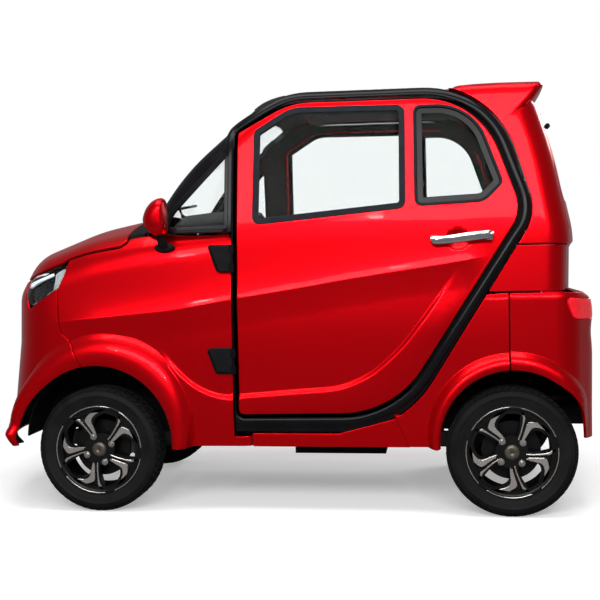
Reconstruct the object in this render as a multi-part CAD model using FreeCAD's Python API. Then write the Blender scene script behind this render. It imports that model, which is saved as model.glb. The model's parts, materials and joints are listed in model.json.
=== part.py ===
import FreeCAD, Part
import math
import os

# Enclosed mobility scooter: a small four-wheeled cabin vehicle with two front-hinged doors,
# a bonnet, a tailgate, steered front wheels and two seats in line.
# Frame: millimetres, +Z up, the nose points along -X, the vehicle's left side is at -Y,
# and the origin lies on the ground under the middle of the body.

V = FreeCAD.Vector

# Wheels and axles
WHEELBASE = 1614
FRONT_AXLE_X = -720
REAR_AXLE_X = FRONT_AXLE_X + WHEELBASE
TYRE_RADIUS = 247
TYRE_WIDTH = 135
WHEEL_PLANE_Y = 485
RIM_RADIUS = 172
RIM_WALL = 6
RIM_FACE_OUT = 60
SPOKE_COUNT = 5
HUB_RADIUS = 62
HUB_BORE = 20
BEARING_CLEARANCE = 0.5
DISC_RADIUS = 112
DISC_THICK = 8
KINGPIN_Y = 395
KINGPIN_RADIUS = 13
STUB_RADIUS = HUB_BORE - BEARING_CLEARANCE

# Body shell
BODY_END_Y = 560
CABIN_WALL = 30
NOSE_WALL = 22
GLASS_DEPTH = 8
GLASS_THICK = 5
FIT = 0.3
PANEL_GAP = 5
CHANNEL_X = (-850, -640)
CHANNEL_THICK = 8
CHANNEL_REACH = 26
DOOR_GAP = 9
SILL_TOP_Z = 312
SILL_IN_Y = 470
BELT_Z = 1095
FLARE_BOTTOM_Z = 262
LINER = 5
LINER_OUT_Y = 525
FRONT_WELL = (FRONT_AXLE_X, 283, 300, 280)   # x, z, radius, inner |y|
REAR_WELL = (REAR_AXLE_X - 2, 305, 268, 380)
# Wheel flares: centre x, centre z, radius and y of the outer lip, then the same of the foot on the body
FRONT_FLARE = ((FRONT_AXLE_X, 290, 322, 577), (FRONT_AXLE_X + 20, 338, 376, 512))
REAR_FLARE = ((REAR_AXLE_X - 2, 308, 284, 577), (REAR_AXLE_X - 8, 326, 320, 512))

# Half cross-section of the cabin, seen along the vehicle: y, z, corner radius
SIDE_SECTION = [(-512, 190, 10), (-540, 690, 2500), (-522, 1110, 900), (-427, 1656, 60), (0, 1690, 3000)]

# Side outline of the cabin on the centre line: x, z, corner radius, and what the sides do at
# BODY_END_Y: how far they sweep back and how far they drop
CABIN_SIDE = [(-620, 1040, 20, 69, 0), (-407, 1350, 900, 69, 0), (-45, 1676, 300, 69, 34),
              (640, 1676, 500, -77, 34), (1030, 1612, 60, -77, 34), (1100, 1400, 1500, -77, 0),
              (1172, 1080, 400, -77, 0), (1160, 240, 10, -77, 0), (-620, 240, 10, 0, 0)]

# The same for the nose and the bonnet
NOSE_SIDE = [(-1222, 255, 15, 186, 0), (-1180, 660, 300, 186, 0), (-1172, 860, 130, 180, 10),
             (-1075, 1020, 170, 130, 50), (-800, 1128, 700, 40, 100), (-560, 1178, 900, 0, 112),
             (-172, 1220, 0, 0, 112), (-172, 240, 0, 0, 0), (-900, 240, 0, 0, 0)]

# The same for the lip under the nose
LIP_SIDE = [(-1222, 268, 8, 186, 0), (-1240, 312, 15, 186, 0), (-1205, 350, 20, 186, 0),
            (-1150, 350, 0, 186, 0), (-1150, 268, 0, 186, 0)]

# Outlines in the side view: x, z, corner radius
DOOR_OPENING = [(-163, 377, 30), (-163, 1497, 15), (60, 1612, 300), (788, 1612, 320), (953, 1160, 150),
                (456, 383, 380)]
RAIL_OUTLINE = [(-172, 313, 0), (-172, BELT_Z, 0), (-700, BELT_Z, 0), (-700, 1800, 0), (555, 1800, 0),
                (555, 1657, 0), (840, 1657, 380), (995, 1150, 190), (472, 313, 425)]
VENT_OPENING = [(-440, 1110, 12), (-420, 1180, 80), (-190, 1425, 10), (-190, 1114, 10)]
MAIN_WINDOW = [(-88, 1128, 25), (-83, 1492, 20), (60, 1580, 150), (499, 1576, 30), (499, 1182, 25)]
QUARTER_WINDOW = [(541, 1188, 25), (538, 1573, 25), (760, 1573, 200), (870, 1270, 25), (800, 1200, 60)]
FENDER_OUTLINE = [(-172, SILL_TOP_Z - 12, 0), (-172, BELT_Z, 0), (-172, 1240, 0), (-835, 1240, 0), (-835, 977, 0),
                  (-879, 888, 0), (-879, 849, 0), (-877, 768, 0), (-866, 711, 0), (-818, 666, 0),
                  (-774, 579, 0), (-700, 400, 0)]
HEADLIGHT = [(-1018, 924, 25), (-868, 982, 20), (-835, 977, 15), (-879, 888, 30), (-1010, 806, 30),
             (-1034, 880, 20)]
TAILLIGHT = [(1090, 836, 20), (1215, 820, 15), (1215, 742, 15), (1128, 748, 30)]

# Outlines in the front and rear views: y, z, corner radius, one half
WINDSCREEN = [(-432, 1080, 40), (-386, 1600, 60)]
TAILGATE = [(-450, 856, 40), (-448, 1110, 200), (-376, 1586, 60)]
TAILGATE_WINDOW = [(-392, 1204, 45), (-338, 1548, 50)]

# Outlines in the plan view: x, y, corner radius, one half
BONNET_PLAN = [(-604, -468, 20), (-880, -462, 120), (-1120, -250, 120)]
ROOF_PLAN = [(-420, -380, 0), (1100, -380, 0)]
COWL_PLAN = [(-599, -468, 10), (-430, -468, 10)]

REAR_BUMPER_PLAN = [(900, -545, 0), (1120, -545, 100), (1212, -400, 200), (1241, 0, 1200)]
REAR_BUMPER_SIDE = [(900, 300, 0), (900, 848, 0), (1150, 848, 60), (1225, 812, 40), (1241, 740, 40),
                    (1225, 640, 200), (1241, 480, 300), (1232, 300, 20)]
SPOILER_HALF = 395

# Seams between the bumpers and the side panels
FENDER_FOOT_X = -106
REAR_SEAM_X = 889
REAR_SEAM_Z = 853

# Tread grooves, and the blades' pockets and places
GROOVE_AT = 22
GROOVE_DEPTH = 8
POCKET_DEPTH = 9
FRONT_BLADE_AT = -43.7
REAR_BLADE_AT = -61.7

# Joint axes that the pieces are built round
DOOR_HINGE_X = -168
DOOR_HINGE_Y = 547
DOOR_HINGES = [(944, 1051, -267), (546, 646, -277)]   # low z, high z, front x
HINGE_PIN_RADIUS = 5
HINGE_SLEEVE_RADIUS = 9
HINGE_GAP = 2
TAILGATE_HINGE_X = 1040
TAILGATE_HINGE_Z = 1600
TAILGATE_HINGES_Y = (-250, 250)

# Inside
FLOOR_Z = 275
FLOOR_THICK = 15
SHELF_Z = 440
DASH_BOTTOM_Z = 760
BULKHEAD_Z = DASH_BOTTOM_Z - FIT
RAIL_DEPTH = 60
HITCH_HALF = 60
HITCH_HOLE_RADIUS = 5.25
RAIL_IN_Y = 205
RAIL_OUT_Y = 245
STEERING_CENTRE = V(-215, 0, 1010)
STEERING_TILT = 38
STEERING_RADIUS = 165
COLUMN_RADIUS = 24


def grow(rows, d):
    """Moves each side of an outline outwards by d; a negative d shrinks it."""
    n = len(rows)
    area = sum(rows[i - 1][0] * rows[i][1] - rows[i][0] * rows[i - 1][1] for i in range(n))
    s = 1 if area > 0 else -1
    out = []
    for i in range(n):
        ax, az = rows[i - 1][:2]
        bx, bz, r = rows[i][:3]
        cx, cz = rows[(i + 1) % n][:2]
        u = V(bx - ax, bz - az, 0).normalize()
        w = V(cx - bx, cz - bz, 0).normalize()
        n1 = V(u.y * s, -u.x * s, 0)
        n2 = V(w.y * s, -w.x * s, 0)
        k = d / (1 + n1.dot(n2))
        turn = 1 if (u.x * w.y - u.y * w.x) * s > 0 else -1
        out.append((bx + (n1.x + n2.x) * k, bz + (n1.y + n2.y) * k, max(r + d * turn, 0.5) if r else 0))
    return out


def wire(rows, put):
    """Closed wire of lines and tangent arcs through rounded corners (a, b, radius)."""
    n = len(rows)
    spans = []
    for i in range(n):
        a = V(*rows[i - 1][:2], 0)
        b = V(*rows[i][:2], 0)
        c = V(*rows[(i + 1) % n][:2], 0)
        r = rows[i][2]
        u = (a - b).normalize()
        w = (c - b).normalize()
        if r <= 0:
            spans.append((b, None, b))
            continue
        half = u.getAngle(w) / 2
        t = r / math.tan(half)
        spans.append((b + u * t, b + (u + w).normalize() * (r / math.sin(half) - r), b + w * t))
    edges = []
    for i in range(n):
        start, mid, end = spans[i]
        if mid is not None:
            edges.append(Part.Arc(put(start), put(mid), put(end)).toShape())
        following = spans[(i + 1) % n][0]
        if (following - end).Length > 1e-6:
            edges.append(Part.makeLine(put(end), put(following)))
    return Part.Wire(edges)


def mirrored(half):
    """Full outline from one half at negative second-axis values."""
    return half + [(-y, z, r) for y, z, r in reversed(half) if y != 0]


def mirrored_plan(half):
    return half + [(x, -y, r) for x, y, r in reversed(half) if y != 0]


def side_prism(rows, y0, y1):
    """Outline (x, z, r) pushed along Y."""
    face = Part.Face(wire(rows, lambda p: V(p.x, y0, p.y)))
    return face.extrude(V(0, y1 - y0, 0))


def front_prism(rows, x0, x1):
    """Outline (y, z, r) pushed along X."""
    face = Part.Face(wire(rows, lambda p: V(x0, p.x, p.y)))
    return face.extrude(V(x1 - x0, 0, 0))


def plan_prism(rows, z0, z1):
    """Outline (x, y, r) pushed along Z."""
    face = Part.Face(wire(rows, lambda p: V(p.x, p.y, z0)))
    return face.extrude(V(0, 0, z1 - z0))


def box(x0, x1, y0, y1, z0, z1):
    return Part.makeBox(x1 - x0, y1 - y0, z1 - z0, V(x0, y0, z0))


def rod(a, b, r):
    return Part.makeCylinder(r, (b - a).Length, a, b - a)


def mirror(shape):
    return shape.mirror(V(0, 0, 0), V(0, 1, 0))


def turned(rows, centre, axis):
    """Ring made by turning a closed outline (radius, along-axis, corner) about a Y axis line."""
    face = Part.Face(wire(rows, lambda p: V(centre.x + p.x, centre.y + p.y, centre.z)))
    return face.revolve(centre, axis, 360)


def barrel(rows, inset):
    """Solid between the two sides whose outline sweeps back and drops towards the sides."""
    middle = grow([(x, z, r) for x, z, r, _, _ in rows], -inset)
    side = grow([(x + back, z - drop, r) for x, z, r, back, drop in rows], -inset)
    stations = [(side, -BODY_END_Y), (middle, 0), (side, BODY_END_Y)]
    wires = [wire(outline, lambda p, y=y: V(p.x, y, p.y)) for outline, y in stations]
    return Part.makeLoft(wires, True, False)


def side_skin(inset):
    """Everything inside the two sides of the vehicle, whose section runs its whole length."""
    return front_prism(grow(mirrored(SIDE_SECTION), -inset), -1300, 1300)


def cabin_hull(inset):
    return barrel(CABIN_SIDE, inset).common(side_skin(inset))


def nose_hull(inset):
    return barrel(NOSE_SIDE, inset).common(side_skin(inset))


def well(row, outer_y=700):
    """Wheel arch space on the left side."""
    x, z, r, inner = row
    return rod(V(x, -outer_y, z), V(x, -inner, z), r)


def flare(stations):
    """Cone between the foot on the body and the outer lip, for the raised edge round an arch."""
    rings = [Part.Wire(Part.makeCircle(r, V(x, -y, z), V(0, 1, 0))) for x, z, r, y in stations]
    low_x = stations[0][0] - 500
    return Part.makeLoft(rings, True, True).common(box(low_x, low_x + 1000, -700, 0, FLARE_BOTTOM_Z, 900))


def liner(row):
    """Inner wing: a half drum over the wheel with its inner end closed."""
    x, z, r, inner = row
    drum = rod(V(x, -LINER_OUT_Y, z), V(x, -inner + LINER, z), r + LINER)
    return drum.cut(well(row)).common(box(x - 500, x + 500, -700, 0, z - 10, 900))


def make_tyre(x, side):
    """Tyre: a turned ring with a flat crown, sloping shoulders and two tread grooves."""
    half = TYRE_WIDTH / 2
    bead = RIM_RADIUS - 6
    flank = [(bead, 12 - half, 0), (bead + 14, 3 - half, 0), (TYRE_RADIUS - 46, -half, 0),
             (TYRE_RADIUS - 12, 8 - half, 0), (TYRE_RADIUS, 28 - half, 0)]
    groove = [(TYRE_RADIUS, -GROOVE_AT - 4, 0), (TYRE_RADIUS - GROOVE_DEPTH, -GROOVE_AT, 0),
              (TYRE_RADIUS, -GROOVE_AT + 4, 0)]
    near_half = flank + groove
    rows = near_half + [(r, -along, corner) for r, along, corner in near_half[::-1]]
    return turned(rows, V(x, side * WHEEL_PLANE_Y, TYRE_RADIUS), V(0, 1, 0))


def round_the_hub(rows):
    """Points (clockwise angle from the blade's tip, radius, corner) as x, up, corner."""
    return [(r * math.sin(math.radians(a)), r * math.cos(math.radians(a)), corner) for a, r, corner in rows]


def spoke_blade():
    """One swirl blade of the wheel: a straight limb and a sickle limb that spread from the hub
    and meet the rim a fifth of a turn apart."""
    past_rim = RIM_RADIUS + 12
    return round_the_hub([(-4, past_rim, 0), (3, 140, 40), (8, 90, 0), (6, 44, 0), (36, 44, 0), (29, 90, 40),
                          (34, 128, 40), (56, RIM_RADIUS - 22, 0), (60, past_rim, 0), (28, past_rim + 14, 0)])


def blade_pocket():
    """The hollow between the two limbs of a blade."""
    rim = RIM_RADIUS - 18
    return round_the_hub([(5, rim, 4), (10, 128, 8), (16, 112, 8), (24, 136, 20), (44, rim - 4, 4),
                          (25, rim + 8, 40)])


def make_wheel(x, side, turn):
    """Alloy wheel: barrel, five blades, hub with its bore, and the brake disc on its back. The
    turn is where the first blade's tip stands, clockwise from up as seen from outside."""
    plane = side * WHEEL_PLANE_Y
    half = TYRE_WIDTH / 2 - 10
    centre = V(x, plane, TYRE_RADIUS)
    bead = RIM_RADIUS - 6 - FIT
    barrel_rows = [(bead - RIM_WALL - 12, -half, 0), (bead, -half, 0), (bead, half, 0),
                   (bead - RIM_WALL - 12, half, 0), (bead - RIM_WALL, half - 14, 20),
                   (bead - RIM_WALL, -half + 14, 20)]
    wheel = turned(barrel_rows, centre, V(0, 1, 0))
    face_y = side * (WHEEL_PLANE_Y + RIM_FACE_OUT - 8)
    back_y = face_y - side * 26
    low, high = min(face_y, back_y), max(face_y, back_y)
    rim_space = rod(V(x, low, TYRE_RADIUS), V(x, high, TYRE_RADIUS), bead - RIM_WALL / 2)
    for k in range(SPOKE_COUNT):
        blade = Part.Face(wire(spoke_blade(), lambda p: V(x - side * p.x, low, TYRE_RADIUS + p.y)))
        blade = blade.extrude(V(0, high - low, 0)).common(rim_space)
        pocket = Part.Face(wire(blade_pocket(), lambda p: V(x - side * p.x, face_y, TYRE_RADIUS + p.y)))
        blade = blade.cut(pocket.extrude(V(0, -side * POCKET_DEPTH, 0)))
        blade.rotate(centre, V(0, 1, 0), -side * (turn + k * 360 / SPOKE_COUNT))
        wheel = wheel.fuse(blade)
    hub_in = side * (WHEEL_PLANE_Y - 12)
    wheel = wheel.fuse(rod(V(x, hub_in, TYRE_RADIUS), V(x, face_y, TYRE_RADIUS), HUB_RADIUS - 14))
    wheel = wheel.fuse(rod(V(x, face_y - side * 22, TYRE_RADIUS), V(x, face_y, TYRE_RADIUS), HUB_RADIUS))
    wheel = wheel.fuse(rod(V(x, hub_in, TYRE_RADIUS), V(x, hub_in + side * DISC_THICK, TYRE_RADIUS), DISC_RADIUS))
    wheel = wheel.cut(rod(V(x, hub_in - side * 2, TYRE_RADIUS), V(x, face_y - side * 12, TYRE_RADIUS), HUB_BORE))
    return wheel.removeSplitter()


def make_knuckle():
    """Left steering knuckle: kingpin sleeve, stub axle, calliper arm and steering arm."""
    z = TYRE_RADIUS
    x = FRONT_AXLE_X
    sleeve = rod(V(x, -KINGPIN_Y, z - 42), V(x, -KINGPIN_Y, z + 42), 24)
    stub = rod(V(x, -KINGPIN_Y, z), V(x, -(WHEEL_PLANE_Y + 32), z), STUB_RADIUS)
    boss = rod(V(x, -KINGPIN_Y, z), V(x, -(WHEEL_PLANE_Y - 26), z), 34)
    arm = box(x, x + 120, -KINGPIN_Y - 8, -KINGPIN_Y + 12, z - 34, z - 14)
    calliper = box(x + 92, x + 130, -(WHEEL_PLANE_Y - 2), -KINGPIN_Y - 20, z - 20, z + 42)
    bridge = box(x + 20, x + 100, -(WHEEL_PLANE_Y - 30), -KINGPIN_Y - 24, z - 12, z + 22)
    slot = rod(V(x, -(WHEEL_PLANE_Y - 12) + 4, z), V(x, -(WHEEL_PLANE_Y + 30), z), DISC_RADIUS + 4)
    calliper = calliper.cut(slot)
    knuckle = sleeve.fuse([stub, boss, arm, bridge, calliper])
    return knuckle.cut(rod(V(x, -KINGPIN_Y, z - 60), V(x, -KINGPIN_Y, z + 60), KINGPIN_RADIUS + BEARING_CLEARANCE))


def make_front_axle():
    """Beam with a yoke and kingpin at each end."""
    z = TYRE_RADIUS
    x = FRONT_AXLE_X
    beam = box(x - 28, x + 28, -300, 300, z - 80, z - 30)
    parts = []
    for side in (-1, 1):
        y = side * KINGPIN_Y
        low = min(side * 290, y)
        high = max(side * 290, y)
        parts.append(box(x - 22, x + 22, low, high, z - 78, z - 50))
        parts.append(box(x - 22, x + 22, low, high, z + 50, z + 74))
        parts.append(box(x - 22, x + 22, *sorted((side * 290, side * 320)), z - 78, z + 74))
        parts.append(rod(V(x, y, z - 78), V(x, y, z - 50), 24))
        parts.append(rod(V(x, y, z + 50), V(x, y, z + 74), 24))
        parts.append(rod(V(x, y, z - 70), V(x, y, z + 70), KINGPIN_RADIUS))
    return beam.fuse(parts).removeSplitter()


def make_rear_axle():
    """Axle tube with the motor and gear housing in its middle and a stub at each wheel."""
    z = TYRE_RADIUS
    x = REAR_AXLE_X
    reach = WHEEL_PLANE_Y + 32
    tube = rod(V(x, -(WHEEL_PLANE_Y - 26), z), V(x, WHEEL_PLANE_Y - 26, z), 34)
    stubs = rod(V(x, -reach, z), V(x, reach, z), STUB_RADIUS)
    case = rod(V(x, -95, z), V(x, 60, z), 92)
    motor = rod(V(x - 130, -80, z + 18), V(x - 130, 110, z + 18), 72)
    neck = box(x - 130, x, -70, 50, z - 40, z + 60)
    return tube.fuse([stubs, case, motor, neck])


def make_chassis():
    """Two long rails that rise over the rear axle, joined by cross members, with axle saddles."""
    top = FLOOR_Z
    low = FLOOR_Z - RAIL_DEPTH
    kick = [(-940, low, 0), (-940, top, 0), (740, top, 0), (800, top + 75, 0), (1090, top + 75, 0),
            (1090, low + 75, 0), (830, low + 75, 0), (770, low, 0)]
    z = TYRE_RADIUS
    parts = []
    for side in (-1, 1):
        inner, outer = sorted((side * RAIL_IN_Y, side * RAIL_OUT_Y))
        parts.append(side_prism(kick, inner, outer))
        parts.append(box(REAR_AXLE_X - 40, REAR_AXLE_X + 40, inner, outer, z + 10, low + 80))
    for x, rise in ((-940, 0), (-560, 0), (-60, 0), (420, 0), (600, 0), (1050, 75)):
        parts.append(box(x, x + 40, -RAIL_IN_Y, RAIL_IN_Y, low + rise + 5, top + rise - 5))
    frame = parts[0].fuse(parts[1:])
    frame = frame.cut(box(FRONT_AXLE_X - 28 - FIT, FRONT_AXLE_X + 28 + FIT, -310, 310, z - 90, z - 30 + FIT))
    axle = rod(V(REAR_AXLE_X, -300, z), V(REAR_AXLE_X, 300, z), 34 + FIT)
    holes = [rod(V(1070, y, low), V(1070, y, top + 100), HITCH_HOLE_RADIUS) for y in (-HITCH_HALF, HITCH_HALF)]
    return frame.cut([axle] + holes).removeSplitter()


def make_floor():
    """Floor with a bulkhead at the pedals and a step up to the luggage shelf behind the seats."""
    t = FLOOR_THICK
    z0 = FLOOR_Z + FIT
    step = [(-470, z0, 0), (600, z0, 0), (600, SHELF_Z - t, 0), (1120, SHELF_Z - t, 0), (1120, SHELF_Z, 0),
            (600 - t, SHELF_Z, 0), (600 - t, z0 + t, 0), (-470 + t, z0 + t, 0), (-470 + t, BULKHEAD_Z, 0),
            (-470, BULKHEAD_Z, 0)]
    pan = side_prism(step, -268, 268)
    wide = plan_prism(mirrored_plan([(-390, -SILL_IN_Y + FIT, 0), (600, -SILL_IN_Y + FIT, 0)]), z0, z0 + t)
    shelf = plan_prism(mirrored_plan([(600, -370, 0), (1120, -370, 0)]), SHELF_Z - t, SHELF_Z)
    return pan.fuse([wide, shelf]).removeSplitter()


def make_battery():
    return box(20, 400, -195, 195, FLOOR_Z - 100, FLOOR_Z)


def run_on(hull):
    """A hull's rear end carried on rearwards, to open the wall across it."""
    end = max(hull.Faces, key=lambda face: face.CenterOfMass.x)
    return end.extrude(V(2 * NOSE_WALL, 0, 0))


def shells():
    """Walls cut from the two hulls, shared by the panels."""
    cabin = cabin_hull(0)
    nose = nose_hull(0)
    nose_inside = nose_hull(NOSE_WALL)
    cabin_wall = cabin.cut(cabin_hull(CABIN_WALL))
    nose_wall = nose.cut([nose_inside, run_on(nose_inside)])
    glass = cabin_hull(GLASS_DEPTH).cut(cabin_hull(GLASS_DEPTH + GLASS_THICK))
    return cabin, nose, cabin_wall, nose_wall, glass


def left(shape):
    return shape.common(box(-1400, 1400, -700, -0.2, 0, 2000))


def biggest(shape):
    return max(shape.Solids, key=lambda s: s.Volume)


def make_rail(wall, nose):
    """Black rail: windscreen pillar, roof rail, curve behind the door and rocker, in one piece."""
    rail = left(wall).common(side_prism(RAIL_OUTLINE, -700, -200))
    rail = rail.cut(side_prism(DOOR_OPENING, -700, -200))
    rail = rail.cut(side_prism(VENT_OPENING, -700, -200))
    rail = rail.cut(front_prism(grow(mirrored(WINDSCREEN), FIT), -800, 100))
    rail = rail.cut(plan_prism(grow(mirrored_plan(ROOF_PLAN), FIT), 1450, 1800))
    return biggest(rail.cut(nose))


def make_roof(wall):
    roof = wall.common(plan_prism(mirrored_plan(ROOF_PLAN), 1500, 1800))
    roof = roof.cut(front_prism(grow(mirrored(WINDSCREEN), FIT), -800, 100))
    return biggest(roof.cut(front_prism(grow(mirrored(TAILGATE), PANEL_GAP), 850, 1300)))


def make_windscreen(glass, nose):
    pane = glass.common(front_prism(mirrored(WINDSCREEN), -800, 100))
    return biggest(pane.cut(nose))


def make_vent_windows(glass, nose):
    pane = biggest(left(glass).common(side_prism(grow(VENT_OPENING, -FIT), -700, -200)).cut(nose))
    return Part.makeCompound([pane, mirror(pane)])


def make_door(wall):
    door = left(wall).common(side_prism(grow(DOOR_OPENING, -DOOR_GAP), -700, -200))
    door = door.cut(side_prism(MAIN_WINDOW, -700, -200))
    door = door.cut(side_prism(QUARTER_WINDOW, -700, -200))
    return biggest(biggest(door).fuse(door_leaves()))


def hinge_sleeve(z0, z1):
    axis = V(DOOR_HINGE_X, -DOOR_HINGE_Y, z0)
    return rod(axis, axis + V(0, 0, z1 - z0), HINGE_SLEEVE_RADIUS)


def hinge_pin(z0, z1, radius):
    axis = V(DOOR_HINGE_X, -DOOR_HINGE_Y, z0)
    return rod(axis, axis + V(0, 0, z1 - z0), radius)


def door_leaves():
    """The door's half of its hinges: a sleeve in the middle third and a leaf to the skin."""
    leaves = []
    for low, high, _ in DOOR_HINGES:
        third = (high - low) / 3
        z0 = low + third + HINGE_GAP
        z1 = high - third - HINGE_GAP
        plate = box(DOOR_HINGE_X, DOOR_HINGE_X + 40, -DOOR_HINGE_Y - 4, -DOOR_HINGE_Y + 5, z0, z1)
        root = box(DOOR_HINGE_X + 18, DOOR_HINGE_X + 40, -DOOR_HINGE_Y - 4, -DOOR_HINGE_Y + 26, z0, z1)
        leaf = plate.fuse([root, hinge_sleeve(z0, z1)])
        leaves.append(leaf.cut(hinge_pin(z0 - 5, z1 + 5, HINGE_PIN_RADIUS + BEARING_CLEARANCE)))
    return leaves


def make_door_hinges(fender):
    """The body's half of the door hinges: a cover plate on the fender, two sleeves and the pin."""
    hinges = []
    for low, high, front in DOOR_HINGES:
        third = (high - low) / 3
        edge = DOOR_HINGE_X - HINGE_SLEEVE_RADIUS - HINGE_GAP
        plate = side_prism([(front, high, 12), (edge, high, 0), (edge, low, 0), (front + 38, low, 12)], -546, -515)
        arms = [box(edge - 1, DOOR_HINGE_X, -DOOR_HINGE_Y - 6, -DOOR_HINGE_Y + 6, z0, z0 + third)
                for z0 in (low, high - third)]
        sleeves = [hinge_sleeve(z0, z0 + third) for z0 in (low, high - third)]
        hinge = plate.fuse(arms + sleeves + [hinge_pin(low, high, HINGE_PIN_RADIUS)])
        hinges.append(biggest(hinge.cut(fender)))
    return Part.makeCompound(hinges + [mirror(h) for h in hinges])


def make_door_glass(glass):
    side = left(glass)
    panes = [biggest(side.common(side_prism(grow(rows, -FIT), -700, -200)))
             for rows in (MAIN_WINDOW, QUARTER_WINDOW)]
    return Part.makeCompound(panes)


def make_handle(door):
    """Chromed pull bar on two feet."""
    bar = rod(V(598, -556, 1058), V(832, -556, 1075), 9)
    feet = [box(x, x + 22, -556, -520, 1052, 1072) for x in (602, 806)]
    return biggest(bar.fuse(feet).cut(door))


def make_quarter(wall):
    """Rear side panel behind the rail, over the rear wheel."""
    panel = left(wall).common(box(300, 1300, -700, 0, SILL_TOP_Z, 1800))
    panel = panel.cut(side_prism(grow(RAIL_OUTLINE, FIT), -700, -200))
    panel = panel.cut(front_prism(grow(mirrored(TAILGATE), PANEL_GAP), 850, 1300))
    panel = panel.cut(plan_prism(grow(mirrored_plan(ROOF_PLAN), FIT), 1450, 1800))
    behind = box(REAR_SEAM_X, 1300, -700, 0, 0, REAR_SEAM_Z)
    panel = panel.fuse(flare(REAR_FLARE)).cut(behind).fuse(liner(REAR_WELL))
    panel = panel.cut(well(REAR_WELL))
    return biggest(panel)


def gate_axis(y0, y1, radius):
    """Rod on the tailgate's hinge axis."""
    return rod(V(TAILGATE_HINGE_X, y0, TAILGATE_HINGE_Z), V(TAILGATE_HINGE_X, y1, TAILGATE_HINGE_Z), radius)


def make_tailgate(wall):
    gate = wall.common(front_prism(mirrored(TAILGATE), 850, 1300))
    gate = biggest(gate.cut(front_prism(mirrored(TAILGATE_WINDOW), 850, 1300)))
    leaves = []
    x, z = TAILGATE_HINGE_X, TAILGATE_HINGE_Z
    for y in TAILGATE_HINGES_Y:
        inner, outer = y - 14, y + 14
        foot = box(x - 40, x + 4, inner, outer, z - 32, z - 13)
        stem = box(x - 6, x + 4, inner, outer, z - 14, z)
        leaf = foot.fuse([stem, gate_axis(inner, outer, HINGE_SLEEVE_RADIUS)])
        leaves.append(leaf.cut(gate_axis(inner - 5, outer + 5, HINGE_PIN_RADIUS + BEARING_CLEARANCE)))
    return biggest(gate.fuse(leaves))


def make_tailgate_glass(glass):
    return biggest(glass.common(front_prism(grow(mirrored(TAILGATE_WINDOW), -FIT), 850, 1300)))


def make_bonnet(wall):
    return biggest(wall.common(plan_prism(mirrored_plan(BONNET_PLAN), 850, 1300)))


def bonnet_channel():
    """Ledge on the fender's inner edge that the bonnet's side lies on."""
    x0, x1 = CHANNEL_X
    edge = -BONNET_PLAN[0][1] + PANEL_GAP + 1
    below = nose_hull(NOSE_WALL + CHANNEL_THICK)
    ledge = nose_hull(NOSE_WALL + FIT).cut(below).common(box(x0, x1, -edge - 1, -edge + CHANNEL_REACH, 900, 1200))
    root = nose_hull(NOSE_WALL - 8).cut(below).common(box(x0, x1, -edge - 16, -edge, 900, 1200))
    return [ledge, root]


def in_front_of_fender():
    """The space on the left side in front of the seam between bumper and fender."""
    seam = FENDER_OUTLINE[4:]
    low_x, low_z = seam[-1][:2]
    rows = [(-835, 1240, 0)] + seam + [(low_x, 200, 0), (-1400, 200, 0), (-1400, 1240, 0)]
    return side_prism(rows, -700, -200)


def sill_bar(x0, x1):
    """Length of the box section under the door, on the left side."""
    rows = [(-525, FLARE_BOTTOM_Z, 8), (-545, 300, 10), (-545, SILL_TOP_Z - FIT, 0),
            (-SILL_IN_Y, SILL_TOP_Z - FIT, 0), (-SILL_IN_Y, FLARE_BOTTOM_Z, 0)]
    return front_prism(rows, x0, x1)


def make_fender(wall):
    """Front side panel with its wheel flare, back to the door and up to the bonnet."""
    panel = left(wall).common(side_prism(FENDER_OUTLINE, -700, -200))
    panel = panel.cut(plan_prism(grow(mirrored_plan(BONNET_PLAN), PANEL_GAP), 850, 1300))
    panel = panel.cut(plan_prism(grow(mirrored_plan(COWL_PLAN), FIT), 850, 1300))
    lip = flare(FRONT_FLARE).cut(in_front_of_fender())
    panel = panel.fuse([lip, liner(FRONT_WELL), sill_bar(-430, FENDER_FOOT_X)] + bonnet_channel())
    panel = panel.cut(well(FRONT_WELL))
    panel = panel.cut(side_prism(grow(HEADLIGHT, FIT), -700, -200))
    return biggest(panel)


def make_bumper(wall, fender):
    """Nose panel between the fenders, with its lip."""
    lip = barrel(LIP_SIDE, 0).common(side_skin(-10))
    lip = lip.cut(nose_hull(NOSE_WALL)).common(box(-1400, FRONT_AXLE_X - 290, -700, 700, 240, 400))
    edge = flare(FRONT_FLARE).common(in_front_of_fender())
    reach = box(-1400, -950, -700, 700, 240, 1100).fuse(box(-951, -700, -700, 700, 300, 1100))
    bumper = wall.common(reach).fuse([lip, edge, mirror(edge)])
    fender_space = side_prism(grow(FENDER_OUTLINE, FIT), -700, -200)
    lamp_space = side_prism(grow(HEADLIGHT, FIT), -700, -200)
    for space in (fender_space, lamp_space, fender):
        bumper = bumper.cut([space, mirror(space)])
    bumper = bumper.cut([well(FRONT_WELL), mirror(well(FRONT_WELL))])
    bumper = bumper.cut(plan_prism(grow(mirrored_plan(BONNET_PLAN), PANEL_GAP), 850, 1300))
    return biggest(bumper)


def make_cowl(wall, cabin):
    cowl = wall.common(plan_prism(mirrored_plan(COWL_PLAN), 850, 1300))
    return biggest(cowl.cut(cabin))


def make_sills(fender, quarter):
    sill = biggest(sill_bar(FENDER_FOOT_X + FIT, 600).cut([fender, quarter]))
    return Part.makeCompound([sill, mirror(sill)])


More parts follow.
